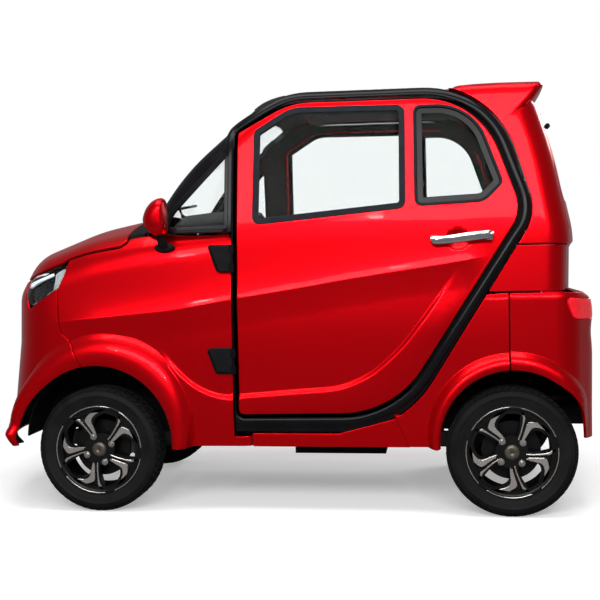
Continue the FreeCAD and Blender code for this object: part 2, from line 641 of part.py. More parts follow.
def make_spoiler(cabin):
    """Spoiler on the rear end of the roof, flush with the roof line."""
    rows = [(745, 1668, 0, -40, 20), (860, 1676, 60, -40, 20), (1030, 1672, 12, -40, 20), (1046, 1652, 8, -40, 20),
            (1010, 1600, 20, -40, 20), (760, 1600, 0, -40, 20)]
    block = barrel(rows, 0).common(box(700, 1300, -SPOILER_HALF, SPOILER_HALF, 1500, 1800))
    x, z = TAILGATE_HINGE_X, TAILGATE_HINGE_Z
    brackets = []
    for y in TAILGATE_HINGES_Y:
        brackets += [box(x - 30, x + 6, y + k - 3, y + k + 3, z - 6, z + 50) for k in (-20, 20)]
        brackets.append(gate_axis(y - 20, y + 20, HINGE_PIN_RADIUS))
    return biggest(block.fuse(brackets).cut(cabin))


def rear_bumper_block(inset):
    """The form of the rear bumper: its plan and its side view, met."""
    plan = plan_prism(grow(mirrored_plan(REAR_BUMPER_PLAN), -inset), 200, 900)
    side = side_prism(grow(REAR_BUMPER_SIDE, -inset), -700, 700)
    return plan.common(side)


def make_rear_bumper(wall, quarter):
    cheek = left(wall).fuse(flare(REAR_FLARE))
    cheek = cheek.common(box(REAR_SEAM_X + FIT, 1060, -700, 0, FLARE_BOTTOM_Z, REAR_SEAM_Z - FIT))
    block = rear_bumper_block(0).cut(rear_bumper_block(NOSE_WALL))
    block = block.cut(box(900, 1040, -700, 700, 200, 900)).fuse([cheek, mirror(cheek)])
    block = block.cut(box(1030, 1180, -490, 490, 200, 300 + NOSE_WALL + 1))
    block = block.cut([well(REAR_WELL), mirror(well(REAR_WELL))])
    lamps = side_prism(grow(TAILLIGHT, FIT), -700, -330)
    return biggest(block.cut([lamps, mirror(lamps), quarter, mirror(quarter)]))


def make_taillights():
    wall = rear_bumper_block(0).cut(rear_bumper_block(NOSE_WALL))
    lamp = biggest(wall.common(side_prism(TAILLIGHT, -700, -330)))
    return Part.makeCompound([lamp, mirror(lamp)])


def make_seat(x, z, width, back_height, stand_z, stand_x):
    """Cushion, reclined backrest with a rounded top, and the post below."""
    half = width / 2
    profile = [(x, z, 20), (x, z + 110, 45), (x + 120, z + 105, 200), (x + 400, z + 95, 30), (x + 400, z, 20)]
    plan = mirrored_plan([(x - 5, half, 70), (x + 405, half, 40)])
    cushion = side_prism(profile, -half, half).common(plan_prism(plan, z - 5, z + 130))
    top = z + back_height
    back = side_prism([(x + 335, z + 60, 20), (x + 322, z + 230, 300), (x + 415, top, 30), (x + 480, top, 30),
                       (x + 450, z + 230, 300), (x + 430, z + 60, 20)], -half, half)
    outline = mirrored([(half - 30, z + 50, 30), (half, z + 260, 150), (half - 0.28 * width, top, 60)])
    back = back.common(front_prism(outline, x + 300, x + 500))
    post = box(stand_x, x + 340, -120, 120, stand_z + FIT, z + 8)
    return cushion.fuse([back, post]).removeSplitter()


def make_dashboard():
    rows = [(-470, DASH_BOTTOM_Z, 0), (-470, 1020, 30), (-330, 1010, 50), (-290, 930, 40),
            (-400, DASH_BOTTOM_Z, 0)]
    column_hole = rod(along_column(0), along_column(300), COLUMN_RADIUS + FIT)
    return side_prism(rows, -440, 440).cut(column_hole)


def along_column(d):
    a = math.radians(STEERING_TILT)
    return STEERING_CENTRE + V(-math.cos(a), 0, -math.sin(a)) * d


def make_column():
    return rod(along_column(20 + FIT), along_column(200), COLUMN_RADIUS)


def make_steering_wheel():
    a = math.radians(STEERING_TILT)
    axis = V(math.cos(a), 0, math.sin(a))
    rim = Part.makeTorus(STEERING_RADIUS, 13, STEERING_CENTRE, axis)
    boss = rod(along_column(20), along_column(-12), 40)
    parts = [boss]
    for k in (0, 120, 240):
        up = V(-math.sin(a), 0, math.cos(a))
        spoke = rod(STEERING_CENTRE, STEERING_CENTRE + up * -STEERING_RADIUS, 9)
        spoke.rotate(STEERING_CENTRE, axis, k)
        parts.append(spoke)
    return rim.fuse(parts)


def make_mirrors(fender):
    side_view = side_prism([(-508, 1130, 25), (-500, 1185, 50), (-468, 1232, 25), (-421, 1240, 15),
                            (-417, 1090, 14), (-470, 1086, 20)], -645, -528)
    front_view = front_prism([(-642, 1100, 30), (-642, 1215, 35), (-600, 1242, 40), (-530, 1236, 25),
                              (-530, 1100, 20), (-600, 1085, 30)], -520, -400)
    head = side_view.common(front_view)
    stalk = rod(V(-440, -500, 1030), V(-460, -585, 1100), 12)
    shape = biggest(head.fuse(stalk).cut(fender))
    return Part.makeCompound([shape, mirror(shape)])


def make_lights(rows, wall, y_in):
    lamp = biggest(left(wall).common(side_prism(rows, -700, y_in)))
    return Part.makeCompound([lamp, mirror(lamp)])


def screen_point(y, z, out):
    """Point at a distance in front of the lower, straight part of the windscreen."""
    (x0, z0, _, back, _), (x1, z1, _, _, _) = CABIN_SIDE[:2]
    slope = V(x1 - x0, 0, z1 - z0).normalize()
    x = x0 + (z - z0) * slope.x / slope.z + back * (y / BODY_END_Y) ** 2
    return V(x, y, z) + V(-slope.z, 0, slope.x) * out


def make_wiper():
    """Wiper: spindle, arm and a straight blade that rests near the middle of the glass."""
    blade = rod(screen_point(-230, 1196, 7), screen_point(210, 1236, 7), 6)
    arm = rod(screen_point(150, 1182, 16), screen_point(-20, 1215, 4), 5)
    spindle = rod(screen_point(150, 1182, 20), screen_point(150, 1182, -4), 9)
    return blade.fuse([arm, spindle])


def build():
    cabin, nose, cabin_wall, nose_wall, glass = shells()
    nodes = {}
    for name, x, turn in (("front", FRONT_AXLE_X, FRONT_BLADE_AT),
                          ("rear", REAR_AXLE_X, REAR_BLADE_AT)):
        for hand, side in (("left", -1), ("right", 1)):
            nodes[f"tyre_{name}_{hand}"] = make_tyre(x, side)
            nodes[f"wheel_{name}_{hand}"] = make_wheel(x, side, turn)
    fender = make_fender(nose_wall)
    quarter = make_quarter(cabin_wall)
    door = make_door(cabin_wall)
    pairs = {"knuckle": make_knuckle(), "side_rail": make_rail(cabin_wall, nose), "door": door,
             "door_glass": make_door_glass(glass), "door_handle": make_handle(door),
             "quarter_panel": quarter, "fender": fender}
    for name, shape in pairs.items():
        nodes[name + "_left"] = shape
        nodes[name + "_right"] = mirror(shape)
    nodes["door_hinges"] = make_door_hinges(fender)
    nodes["front_axle"] = make_front_axle()
    nodes["rear_axle"] = make_rear_axle()
    nodes["chassis_frame"] = make_chassis()
    nodes["floor_pan"] = make_floor()
    nodes["battery_pack"] = make_battery()
    nodes["roof_panel"] = make_roof(cabin_wall)
    nodes["windscreen"] = make_windscreen(glass, nose)
    nodes["vent_windows"] = make_vent_windows(glass, nose)
    nodes["tailgate"] = make_tailgate(cabin_wall)
    nodes["tailgate_glass"] = make_tailgate_glass(glass)
    nodes["bonnet"] = make_bonnet(nose_wall)
    nodes["front_bumper"] = make_bumper(nose_wall, fender)
    nodes["cowl"] = make_cowl(nose_wall, cabin)
    nodes["sills"] = make_sills(fender, quarter)
    nodes["spoiler"] = make_spoiler(cabin)
    nodes["rear_bumper"] = make_rear_bumper(cabin_wall, quarter)
    nodes["front_seat"] = make_seat(-60, 540, 420, 520, FLOOR_Z + FLOOR_THICK + FIT, 0)
    nodes["rear_seat"] = make_seat(520, 600, 620, 735, SHELF_Z, 620)
    nodes["dashboard"] = make_dashboard()
    nodes["steering_column"] = make_column()
    nodes["steering_wheel"] = make_steering_wheel()
    nodes["mirrors"] = make_mirrors(fender)
    nodes["headlights"] = make_lights(HEADLIGHT, nose_wall, -200)
    nodes["taillights"] = make_taillights()
    nodes["wiper"] = make_wiper()
    return nodes


os.makedirs("parts", exist_ok=True)
for name, shape in build().items():
    shape.exportStep(f"parts/{name}.step")
    print(name, len(shape.Solids), shape.isValid(), round(shape.Volume / 1e6, 2))
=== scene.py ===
# %% [markdown]
# # An enclosed mobility scooter in red metallic paint
# The construction (frame, axles, wheels, doors with their hinges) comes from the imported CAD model.
# This lesson dresses it: pressed body panels, glass and rubbers, lamps, tyres, alloy wheels and
# padded seats. Lengths are in metres, the nose points along -X and the left side is at -Y.

# %% Load the frame
import json
import math

import bpy
import numpy as np
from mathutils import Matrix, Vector
from mathutils.geometry import delaunay_2d_cdt


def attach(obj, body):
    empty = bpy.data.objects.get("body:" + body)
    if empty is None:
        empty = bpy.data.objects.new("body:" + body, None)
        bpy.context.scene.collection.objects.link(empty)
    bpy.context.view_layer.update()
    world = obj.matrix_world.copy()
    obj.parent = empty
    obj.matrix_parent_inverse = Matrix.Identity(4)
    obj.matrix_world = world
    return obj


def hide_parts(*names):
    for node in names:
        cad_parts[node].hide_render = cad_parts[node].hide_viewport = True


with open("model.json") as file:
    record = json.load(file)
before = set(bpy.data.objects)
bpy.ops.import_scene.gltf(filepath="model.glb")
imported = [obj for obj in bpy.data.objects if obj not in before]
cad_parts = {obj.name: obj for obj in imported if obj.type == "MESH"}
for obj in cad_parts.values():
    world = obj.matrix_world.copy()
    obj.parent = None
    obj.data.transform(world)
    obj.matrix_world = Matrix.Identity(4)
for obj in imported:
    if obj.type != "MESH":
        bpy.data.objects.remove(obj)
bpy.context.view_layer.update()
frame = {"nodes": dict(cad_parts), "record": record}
NODES = frame["nodes"]

# %% [markdown]
# ## Camera
# A long lens stands about four metres off the left side, a little ahead of the middle and one
# metre up, turned a little towards the nose. Its place comes from the two wheels' ellipses, so it
# is given as a position and three angles instead of being aimed at a target.

# %% Camera
IMAGE_WIDTH_PX = 600
FOCAL_PX = 1079
SENSOR_MM = 36.0
CAMERA_AT = Vector((0.644, -4.657, 1.006))
TURN = math.radians(7.59)
PITCH = math.radians(2.39)
ROLL = math.radians(-0.95)


def add_camera():
    """A camera whose axes are worked out from its turn, pitch and roll."""
    view = Vector((-math.sin(TURN) * math.cos(PITCH), math.cos(TURN) * math.cos(PITCH), -math.sin(PITCH)))
    right = Vector((math.cos(TURN), math.sin(TURN), 0))
    up = right.cross(view)
    right_rolled = right * math.cos(ROLL) + up * math.sin(ROLL)
    up_rolled = up * math.cos(ROLL) - right * math.sin(ROLL)
    data = bpy.data.cameras.new("camera")
    data.sensor_width = SENSOR_MM
    data.lens = FOCAL_PX / IMAGE_WIDTH_PX * SENSOR_MM
    camera = bpy.data.objects.new("camera", data)
    bpy.context.scene.collection.objects.link(camera)
    matrix = camera.matrix_world.copy()
    for row in range(3):
        matrix[row][0] = right_rolled[row]
        matrix[row][1] = up_rolled[row]
        matrix[row][2] = -view[row]
        matrix[row][3] = CAMERA_AT[row]
    camera.matrix_world = matrix
    bpy.context.scene.camera = camera
    return camera


camera = add_camera()
print("camera lens", round(camera.data.lens, 2), "mm")
bpy.context.scene.view_settings.view_transform = "Standard"

# %% [markdown]
# ## Studio
# A plain white floor and backdrop. Rays from the camera and through glass see white, while the
# light that falls on the vehicle comes from a pale sky, three soft lamps and three small ones that
# give the paint its sparkle. The floor keeps its contact shadow near the tyres and fades to plain
# white further out.

# %% Studio
SKY_LIGHT = 0.24
FLOOR_FADE = (1.5, 3.1)  # the radii between which the floor turns plain white
FLOOR_GLOW = 0.36
LAMP_TARGET = (0, 0, 0.7)
LAMPS = (  # name, place, size, watts
    ("overhead_lamp", (0.0, -0.9, 3.9), (3.4, 1.8), 125),
    ("camera_softbox", (0.2, -5.6, 3.4), (4.6, 1.5), 250),
    ("rear_lamp", (2.6, 3.2, 2.8), (1.6, 1.2), 60),
    ("sparkle_left", (-1.5, -4.6, 2.3), (0.14, 0.14), 9),
    ("sparkle_middle", (0.1, -4.8, 2.6), (0.14, 0.14), 9),
    ("sparkle_right", (1.6, -4.2, 2.5), (0.14, 0.14), 9),
)


def add_node(tree, kind, inputs=None, **settings):
    """A node whose settings and inputs are given; an input is a value or another node's output."""
    node = tree.nodes.new(kind)
    for name, value in settings.items():
        setattr(node, name, value)
    for key, value in (inputs or {}).items():
        if isinstance(value, bpy.types.NodeSocket):
            tree.links.new(value, node.inputs[key])
        else:
            node.inputs[key].default_value = value
    return node


def seen_rays(tree):
    """1 for rays from the camera and through glass, else 0."""
    path = add_node(tree, "ShaderNodeLightPath").outputs
    return add_node(tree, "ShaderNodeMath", {0: path["Is Camera Ray"], 1: path["Is Transmission Ray"]},
                    operation="MAXIMUM").outputs[0]


def make_world():
    world = bpy.data.worlds.new("studio")
    bpy.context.scene.world = world
    world.use_nodes = True
    tree = world.node_tree
    tree.nodes.clear()
    light = add_node(tree, "ShaderNodeBackground",
                     {"Color": (0.95, 0.97, 1.0, 1), "Strength": SKY_LIGHT})
    white = add_node(tree, "ShaderNodeBackground", {"Color": (1, 1, 1, 1), "Strength": 1.0})
    mix = add_node(tree, "ShaderNodeMixShader",
                   {0: seen_rays(tree), 1: light.outputs[0], 2: white.outputs[0]})
    add_node(tree, "ShaderNodeOutputWorld", {"Surface": mix.outputs[0]})


def make_floor():
    bpy.ops.mesh.primitive_circle_add(vertices=96, radius=FLOOR_FADE[1] + 0.4, fill_type="NGON")
    floor = bpy.context.object
    floor.name = "studio_floor"
    floor.location.z = -0.0005
    material = bpy.data.materials.new("studio_floor")
    material.use_nodes = True
    tree = material.node_tree
    tree.nodes.clear()
    matt = add_node(tree, "ShaderNodeBsdfDiffuse", {"Color": (0.8, 0.8, 0.8, 1)})
    glow = add_node(tree, "ShaderNodeEmission", {"Strength": FLOOR_GLOW})
    lit = add_node(tree, "ShaderNodeAddShader", {0: matt.outputs[0], 1: glow.outputs[0]})
    white = add_node(tree, "ShaderNodeEmission", {"Strength": 1.0})
    place = add_node(tree, "ShaderNodeTexCoord")
    radius = add_node(tree, "ShaderNodeVectorMath", operation="LENGTH")
    tree.links.new(place.outputs["Object"], radius.inputs[0])
    fade = add_node(tree, "ShaderNodeMapRange",
                    {"From Min": FLOOR_FADE[0], "From Max": FLOOR_FADE[1],
                     "Value": radius.outputs["Value"]}, interpolation_type="SMOOTHSTEP")
    seen = add_node(tree, "ShaderNodeMixShader",
                    {0: fade.outputs["Result"], 1: lit.outputs[0], 2: white.outputs[0]})
    dark = add_node(tree, "ShaderNodeBsdfDiffuse", {"Color": (0.22, 0.22, 0.22, 1)})
    both = add_node(tree, "ShaderNodeMixShader",
                    {0: seen_rays(tree), 1: dark.outputs[0], 2: seen.outputs[0]})
    add_node(tree, "ShaderNodeOutputMaterial", {"Surface": both.outputs[0]})
    floor.data.materials.append(material)


def make_lamps():
    for name, place, size, watts in LAMPS:
        data = bpy.data.lights.new(name, "AREA")
        data.shape = "RECTANGLE"
        data.size, data.size_y = size
        data.energy = watts
        lamp = bpy.data.objects.new(name, data)
        lamp.location = place
        aim = Vector(LAMP_TARGET) - Vector(place)
        lamp.rotation_euler = aim.to_track_quat("-Z", "Y").to_euler()
        bpy.context.scene.collection.objects.link(lamp)


make_world()
make_floor()
make_lamps()
print("studio:", len(LAMPS), "lamps")

# %% [markdown]
# ## Shared effects
# Two shader groups serve most finishes. `grain` gives a height for moulded plastic, rubber or
# leather, and `tone` drifts a colour towards a second one in soft clouds, as real paint and
# rubber do. Both read Object coordinates, so the pattern stays on the piece as it moves.

# %% Shared effect groups


def effect_group(name, inputs, outputs):
    group = bpy.data.node_groups.new(name, "ShaderNodeTree")
    for label, kind, value in inputs:
        socket = group.interface.new_socket(label, in_out="INPUT", socket_type=kind)
        socket.default_value = value
    for label, kind in outputs:
        group.interface.new_socket(label, in_out="OUTPUT", socket_type=kind)
    return group, group.nodes.new("NodeGroupInput"), group.nodes.new("NodeGroupOutput")


def make_grain():
    """Height of a fine moulded grain with a second, coarser layer."""
    group, entry, result = effect_group(
        "grain", [("Scale", "NodeSocketFloat", 400.0), ("Coarse", "NodeSocketFloat", 0.25)],
        [("Height", "NodeSocketFloat")])
    place = add_node(group, "ShaderNodeTexCoord").outputs["Object"]
    scale = entry.outputs["Scale"]
    fine = add_node(group, "ShaderNodeTexVoronoi", feature="SMOOTH_F1")
    fine.inputs["Smoothness"].default_value = 0.5
    group.links.new(place, fine.inputs["Vector"])
    group.links.new(scale, fine.inputs["Scale"])
    slow = add_node(group, "ShaderNodeMath", {0: scale, 1: 0.3}, operation="MULTIPLY")
    soft = add_node(group, "ShaderNodeTexNoise", {"Vector": place, "Scale": slow.outputs[0]})
    mix = add_node(group, "ShaderNodeMix", {"Factor": entry.outputs["Coarse"],
                                            "A": fine.outputs["Distance"], "B": soft.outputs["Fac"]})
    group.links.new(mix.outputs["Result"], result.inputs["Height"])
    return group


def make_tone():
    """A colour that drifts between two tones, and the mask that it used."""
    group, entry, result = effect_group(
        "tone", [("Color", "NodeSocketColor", (0.5, 0.5, 0.5, 1)),
                 ("Second", "NodeSocketColor", (0.4, 0.4, 0.4, 1)),
                 ("Scale", "NodeSocketFloat", 6.0), ("Amount", "NodeSocketFloat", 0.5)],
        [("Color", "NodeSocketColor"), ("Mask", "NodeSocketFloat")])
    place = add_node(group, "ShaderNodeTexCoord").outputs["Object"]
    noise = add_node(group, "ShaderNodeTexNoise",
                     {"Detail": 5, "Vector": place, "Scale": entry.outputs["Scale"]})
    clouds = add_node(group, "ShaderNodeMapRange",
                      {"From Min": 0.38, "From Max": 0.66, "Value": noise.outputs["Fac"]})
    scaled = add_node(group, "ShaderNodeMath",
                      {0: clouds.outputs["Result"], 1: entry.outputs["Amount"]},
                      operation="MULTIPLY")
    mix = add_node(group, "ShaderNodeMix", data_type="RGBA")
    group.links.new(scaled.outputs[0], mix.inputs["Factor"])
    group.links.new(entry.outputs["Color"], mix.inputs[6])
    group.links.new(entry.outputs["Second"], mix.inputs[7])
    group.links.new(mix.outputs[2], result.inputs["Color"])
    group.links.new(scaled.outputs[0], result.inputs["Mask"])
    return group


GRAIN = make_grain()
TONE = make_tone()
print("effect groups", GRAIN.name, TONE.name)

# %% [markdown]
# ## Finishes
# Each finish is a Principled shader with its own values. The body is a metallic red under clear
# lacquer: the flakes tint what they mirror red, and the lacquer adds a clear, white mirror that
# grows at grazing angles. Rubber, grained plastic, cast alloy, glass and leather follow.

# %% Finishes
FINISH = {}


def finish(name, color, second=None, roughness=0.5, metallic=0.0, coat=0.0, tone=(6.0, 0.5),
           rough_drift=0.0, grain=None, **fixed):
    """A Principled material with colour drift, roughness drift and an optional grain
    (scale, coarse share, bump distance in metres)."""
    material = bpy.data.materials.new(name)
    material.use_nodes = True
    tree = material.node_tree
    link = tree.links.new
    shader = tree.nodes["Principled BSDF"]
    values = {"Metallic": metallic, "Roughness": roughness, "Coat Weight": coat,
              "Coat Roughness": 0.03}
    values.update((label.replace("_", " "), value) for label, value in fixed.items())
    for label, value in values.items():
        shader.inputs[label].default_value = value
    drift = add_node(tree, "ShaderNodeGroup", node_tree=TONE)
    for label, value in (("Color", (*color, 1)), ("Second", (*(second or color), 1)),
                         ("Scale", tone[0]), ("Amount", tone[1])):
        drift.inputs[label].default_value = value
    link(drift.outputs["Color"], shader.inputs["Base Color"])
    if rough_drift:
        spread = add_node(tree, "ShaderNodeMath", operation="MULTIPLY_ADD")
        spread.inputs[1].default_value = rough_drift
        spread.inputs[2].default_value = roughness
        link(drift.outputs["Mask"], spread.inputs[0])
        link(spread.outputs[0], shader.inputs["Roughness"])
    if grain:
        cells = add_node(tree, "ShaderNodeGroup", node_tree=GRAIN)
        cells.inputs["Scale"].default_value = grain[0]
        cells.inputs["Coarse"].default_value = grain[1]
        bump = add_node(tree, "ShaderNodeBump",
                        {"Distance": grain[2], "Height": cells.outputs["Height"]})
        link(bump.outputs["Normal"], shader.inputs["Normal"])
    FINISH[name] = material


finish("red_paint", (0.70, 0.0, 0.004), (0.62, 0.0, 0.003), roughness=0.30, metallic=0.88, coat=0.2,
       tone=(2.2, 0.6), rough_drift=0.05, grain=(900.0, 0.2, 0.00002), Coat_IOR=1.28,
       Specular_IOR_Level=0.2)
finish("black_gloss", (0.004, 0.004, 0.005), (0.007, 0.007, 0.008), roughness=0.2, tone=(9.0, 0.6),
       rough_drift=0.08, Specular_IOR_Level=0.10)
finish("black_plastic", (0.007, 0.007, 0.008), (0.012, 0.012, 0.013), roughness=0.55, tone=(14.0, 0.6),
       rough_drift=0.12, grain=(700.0, 0.3, 0.0003), Specular_IOR_Level=0.05)
finish("black_trim", (0.012, 0.012, 0.013), (0.02, 0.02, 0.021), roughness=0.28, tone=(20.0, 0.6),
       rough_drift=0.1, grain=(500.0, 0.5, 0.00012), Specular_IOR_Level=0.10)
finish("grey_rubber", (0.012, 0.015, 0.019), (0.02, 0.024, 0.029), roughness=0.5, tone=(18.0, 0.6),
       rough_drift=0.12, grain=(800.0, 0.4, 0.0002), Specular_IOR_Level=0.04)
finish("tyre_rubber", (0.007, 0.007, 0.0075), (0.014, 0.014, 0.014), roughness=0.6, tone=(9.0, 0.7),
       rough_drift=0.15, grain=(600.0, 0.5, 0.0003), Specular_IOR_Level=0.10)
finish("alloy_black", (0.003, 0.003, 0.003), (0.006, 0.006, 0.006), roughness=0.3, tone=(12.0, 0.6),
       rough_drift=0.08, Specular_IOR_Level=0.2)
finish("alloy_bright", (0.66, 0.63, 0.6), (0.52, 0.49, 0.46), roughness=0.26, metallic=1.0,
       tone=(30.0, 0.6), rough_drift=0.12)
finish("mirror_glass", (0.75, 0.78, 0.8), (0.7, 0.73, 0.75), roughness=0.03, metallic=1.0, tone=(8.0, 0.4))
finish("lamp_white", (0.72, 0.78, 0.85), (0.66, 0.72, 0.8), roughness=0.18, coat=0.5, tone=(30.0, 0.5))
finish("lamp_silver", (0.42, 0.45, 0.44), (0.3, 0.33, 0.32), roughness=0.3, metallic=0.6, tone=(45.0, 0.8))
finish("cap_bronze", (0.10, 0.085, 0.07), (0.14, 0.12, 0.10), roughness=0.38, metallic=0.7,
       tone=(60.0, 0.7), rough_drift=0.1)
finish("steel_dark", (0.035, 0.035, 0.037), (0.06, 0.055, 0.05), roughness=0.5, metallic=0.5,
       tone=(12.0, 0.8), rough_drift=0.15, grain=(300.0, 0.6, 0.0003), Specular_IOR_Level=0.25)
finish("steel_bare", (0.42, 0.41, 0.4), (0.3, 0.28, 0.26), roughness=0.34, metallic=1.0, tone=(24.0, 0.7),
       rough_drift=0.12)
finish("chrome", (0.50, 0.51, 0.53), (0.42, 0.43, 0.45), roughness=0.14, metallic=1.0, tone=(20.0, 0.5),
       rough_drift=0.05)
finish("clear_glass", (0.93, 0.955, 0.95), (0.92, 0.95, 0.945), roughness=0.0, tone=(3.0, 0.4),
       Transmission_Weight=1.0, IOR=1.06)
finish("lamp_glass", (0.95, 0.97, 0.98), (0.93, 0.95, 0.97), roughness=0.02, tone=(8.0, 0.4),
       Transmission_Weight=1.0, IOR=1.15)
finish("red_glass", (0.95, 0.01, 0.02), (0.80, 0.0, 0.005), roughness=0.12, coat=0.2, tone=(40.0, 0.7),
       Emission_Color=(0.6, 0.0, 0.01, 1.0), Emission_Strength=0.35)
finish("seat_cover", (0.016, 0.016, 0.018), (0.03, 0.03, 0.032), roughness=0.48, tone=(16.0, 0.6),
       rough_drift=0.1, grain=(420.0, 0.35, 0.0006), Specular_IOR_Level=0.12)
# Slots of the CAD record whose finish has another name
SLOT_FINISH = {"alloy": "alloy_black", "steel": "steel_dark", "chrome_trim": "chrome",
               "lamp_lens": "lamp_glass", "red_lens": "red_glass"}
for row in frame["record"]["subparts"]:
    node = NODES[row["node"]]
    slot = row["material_slot"]
    node.data.materials.clear()
    node.data.materials.append(FINISH[SLOT_FINISH.get(slot, slot)])
print(len(FINISH), "finishes")

# %% [markdown]
# ## The body's form
# The whole body is one smooth form, and the panels are cut from it. It is the meeting of two
# skins: a side skin, whose cross-section runs the whole length, and a barrel, whose side outline
# sweeps back and drops towards the sides. Where they meet, a smooth maximum rounds the shoulder.
# A signed distance to each skin makes this a short formula, so any panel can be found by
# shooting a ray outwards until the distance is zero.

# %% Body form
MM = 0.001
SIDE_Y = 0.560
# Half cross-section of the body: y, z, corner radius
SECTION = [(-490, -110, 10), (-540, 690, 2500), (-522, 1110, 900), (-432, 1666, 60), (0, 1700, 3000)]
# Side outlines: x, z, corner radius, sweep back and drop at the sides
CABIN = [(-620, 1040, 20, 69, 0), (-407, 1350, 900, 69, 0), (-45, 1677, 300, 69, 34),
         (640, 1684, 500, -77, 34), (1030, 1612, 60, -77, 34), (1100, 1400, 1500, -77, 0),
         (1172, 1080, 400, -77, 0), (1154, -60, 10, -77, 0), (-620, -60, 10, 0, 0)]
NOSE = [(-1262, -60, 15, 186, 0), (-1180, 660, 300, 186, 0), (-1172, 860, 130, 180, 10),
        (-1075, 1020, 170, 130, 50), (-800, 1128, 700, 40, 100), (-560, 1178, 900, 0, 112),
        (-60, 1232, 0, 0, 112), (-60, -60, 0, 0, 0), (-900, -72, 0, 0, 0)]
CABIN_ROUND, NOSE_ROUND = 0.080, 0.110
ARC_STEPS = 9
BLOCK = 4000  # points measured at a time, to keep the memory small


def rounded(rows, steps=ARC_STEPS):
    """Closed outline (a, b, radius) as points, with each corner a tangent arc, in metres."""
    rows = np.array([row[:3] for row in rows], float) * MM
    points = []
    for i in range(len(rows)):
        a, b, c = rows[i - 1][:2], rows[i][:2], rows[(i + 1) % len(rows)][:2]
        radius = max(rows[i][2], 1e-5)
        u, w = (a - b) / np.linalg.norm(a - b), (c - b) / np.linalg.norm(c - b)
        half = math.acos(max(-1, min(1, float(u @ w)))) / 2
        centre = b + (u + w) / np.linalg.norm(u + w) * radius / math.sin(half)
        start, end = b + u * radius / math.tan(half), b + w * radius / math.tan(half)
        for k in range(steps):
            f = k / (steps - 1)
            ray = (start - centre) * (1 - f) + (end - centre) * f
            points.append(centre + ray / np.linalg.norm(ray) * radius)
    return np.array(points)


def distance(points, outline):
    """Signed distance in a plane, below zero inside. outline is (K, 2), or (N, K, 2) where each
    point has its own."""
    if outline.ndim == 2:
        outline = np.broadcast_to(outline, (len(points), *outline.shape))
    a = outline
    step = np.roll(outline, -1, axis=1) - a
    rel = points[:, None] - a
    along = np.clip((rel * step).sum(-1) / np.maximum((step ** 2).sum(-1), 1e-14), 0, 1)
    gap = rel - along[..., None] * step
    far = (gap ** 2).sum(-1)
    far[(step ** 2).sum(-1) < 1e-12] = 1e9
    near = far.argmin(1)
    rows = np.arange(len(points))
    side = step[rows, near, 0] * rel[rows, near, 1] - step[rows, near, 1] * rel[rows, near, 0]
    area = (a[0, :, 0] * np.roll(a[0, :, 1], -1) - np.roll(a[0, :, 0], -1) * a[0, :, 1]).sum()
    return np.sqrt(far[rows, near]) * np.where(side * area > 0, -1, 1)


def barrel_pair(rows):
    """The side outline in the middle, and how it shifts at SIDE_Y."""
    middle = rounded([(x, z, r) for x, z, r, _, _ in rows])
    side = rounded([(x + back, z - drop, r) for x, z, r, back, drop in rows])
    return middle, side - middle


def smooth_maximum(a, b, blend):
    h = np.maximum(blend - np.abs(a - b), 0) / blend
    return np.maximum(a, b) + h * h * blend / 4


def both_sides(rows):
    """Rows of the left half, then the same rows mirrored on the way back."""
    return rows + [(-y, z, r) for y, z, r in rows[::-1]]


WHOLE_SECTION = rounded(SECTION + [(-y, z, r) for y, z, r in SECTION[-2::-1]])
CABIN_PAIR, NOSE_PAIR = barrel_pair(CABIN), barrel_pair(NOSE)


def hull(pair, blend):
    """Signed distance function of one hull."""
    middle, shift = pair

    def measure(p):
        out = np.empty(len(p))
        for start in range(0, len(p), BLOCK):
            part = p[start:start + BLOCK]
            outline = middle[None] + shift[None] * ((part[:, 1] / SIDE_Y) ** 2)[:, None, None]
            barrel = distance(part[:, [0, 2]], outline)
            out[start:start + BLOCK] = smooth_maximum(
                barrel, distance(part[:, [1, 2]], WHOLE_SECTION), blend)
        return out
    return measure


CABIN_HULL, NOSE_HULL = hull(CABIN_PAIR, CABIN_ROUND), hull(NOSE_PAIR, NOSE_ROUND)
print("section points", len(WHOLE_SECTION), "outline points", len(CABIN_PAIR[0]), len(NOSE_PAIR[0]))

# %% [markdown]
# ## Charts
# A chart turns two numbers into a ray that leaves the inside of the body. A flat side chart suits
# a door, and a dome of rays from one inner point suits a fender that wraps round the nose. Every
# panel is drawn in its chart, and the ray gives each point its place on the skin.

# %% Charts
RAY_REACH = 1.6
HALVINGS = 19
NORMAL_STEP = 0.002


def flat_chart(axes, across, start, way):
    """Level rays: uv are the two axes, and each ray starts at one value of the third."""
    def rays(uv):
        origin = np.empty((len(uv), 3))
        origin[:, axes] = uv
        origin[:, across] = start
        return origin, np.tile(np.eye(3)[across] * way, (len(uv), 1))
    return rays, lambda p: p[:, axes]


def side_chart():
    return flat_chart([0, 2], 1, -0.05, -1)


def plan_chart(z0):
    return flat_chart([0, 1], 2, z0, 1)


def end_chart(x0, way):
    return flat_chart([1, 2], 0, x0, way)


def ring_chart(x0, y0, way, radius):
    """Level rays from an upright axis; u is the angle from the +X or -X way times the radius."""
    def rays(uv):
        angle = uv[:, 0] / radius
        zero = np.zeros(len(uv))
        return (np.stack([zero + x0, zero + y0, uv[:, 1]], 1),
                np.stack([way * np.cos(angle), -np.sin(angle), zero], 1))

    def flat(p):
        angle = np.arctan2(-(p[:, 1] - y0), way * (p[:, 0] - x0))
        return np.stack([angle * radius, p[:, 2]], 1)
    return rays, flat


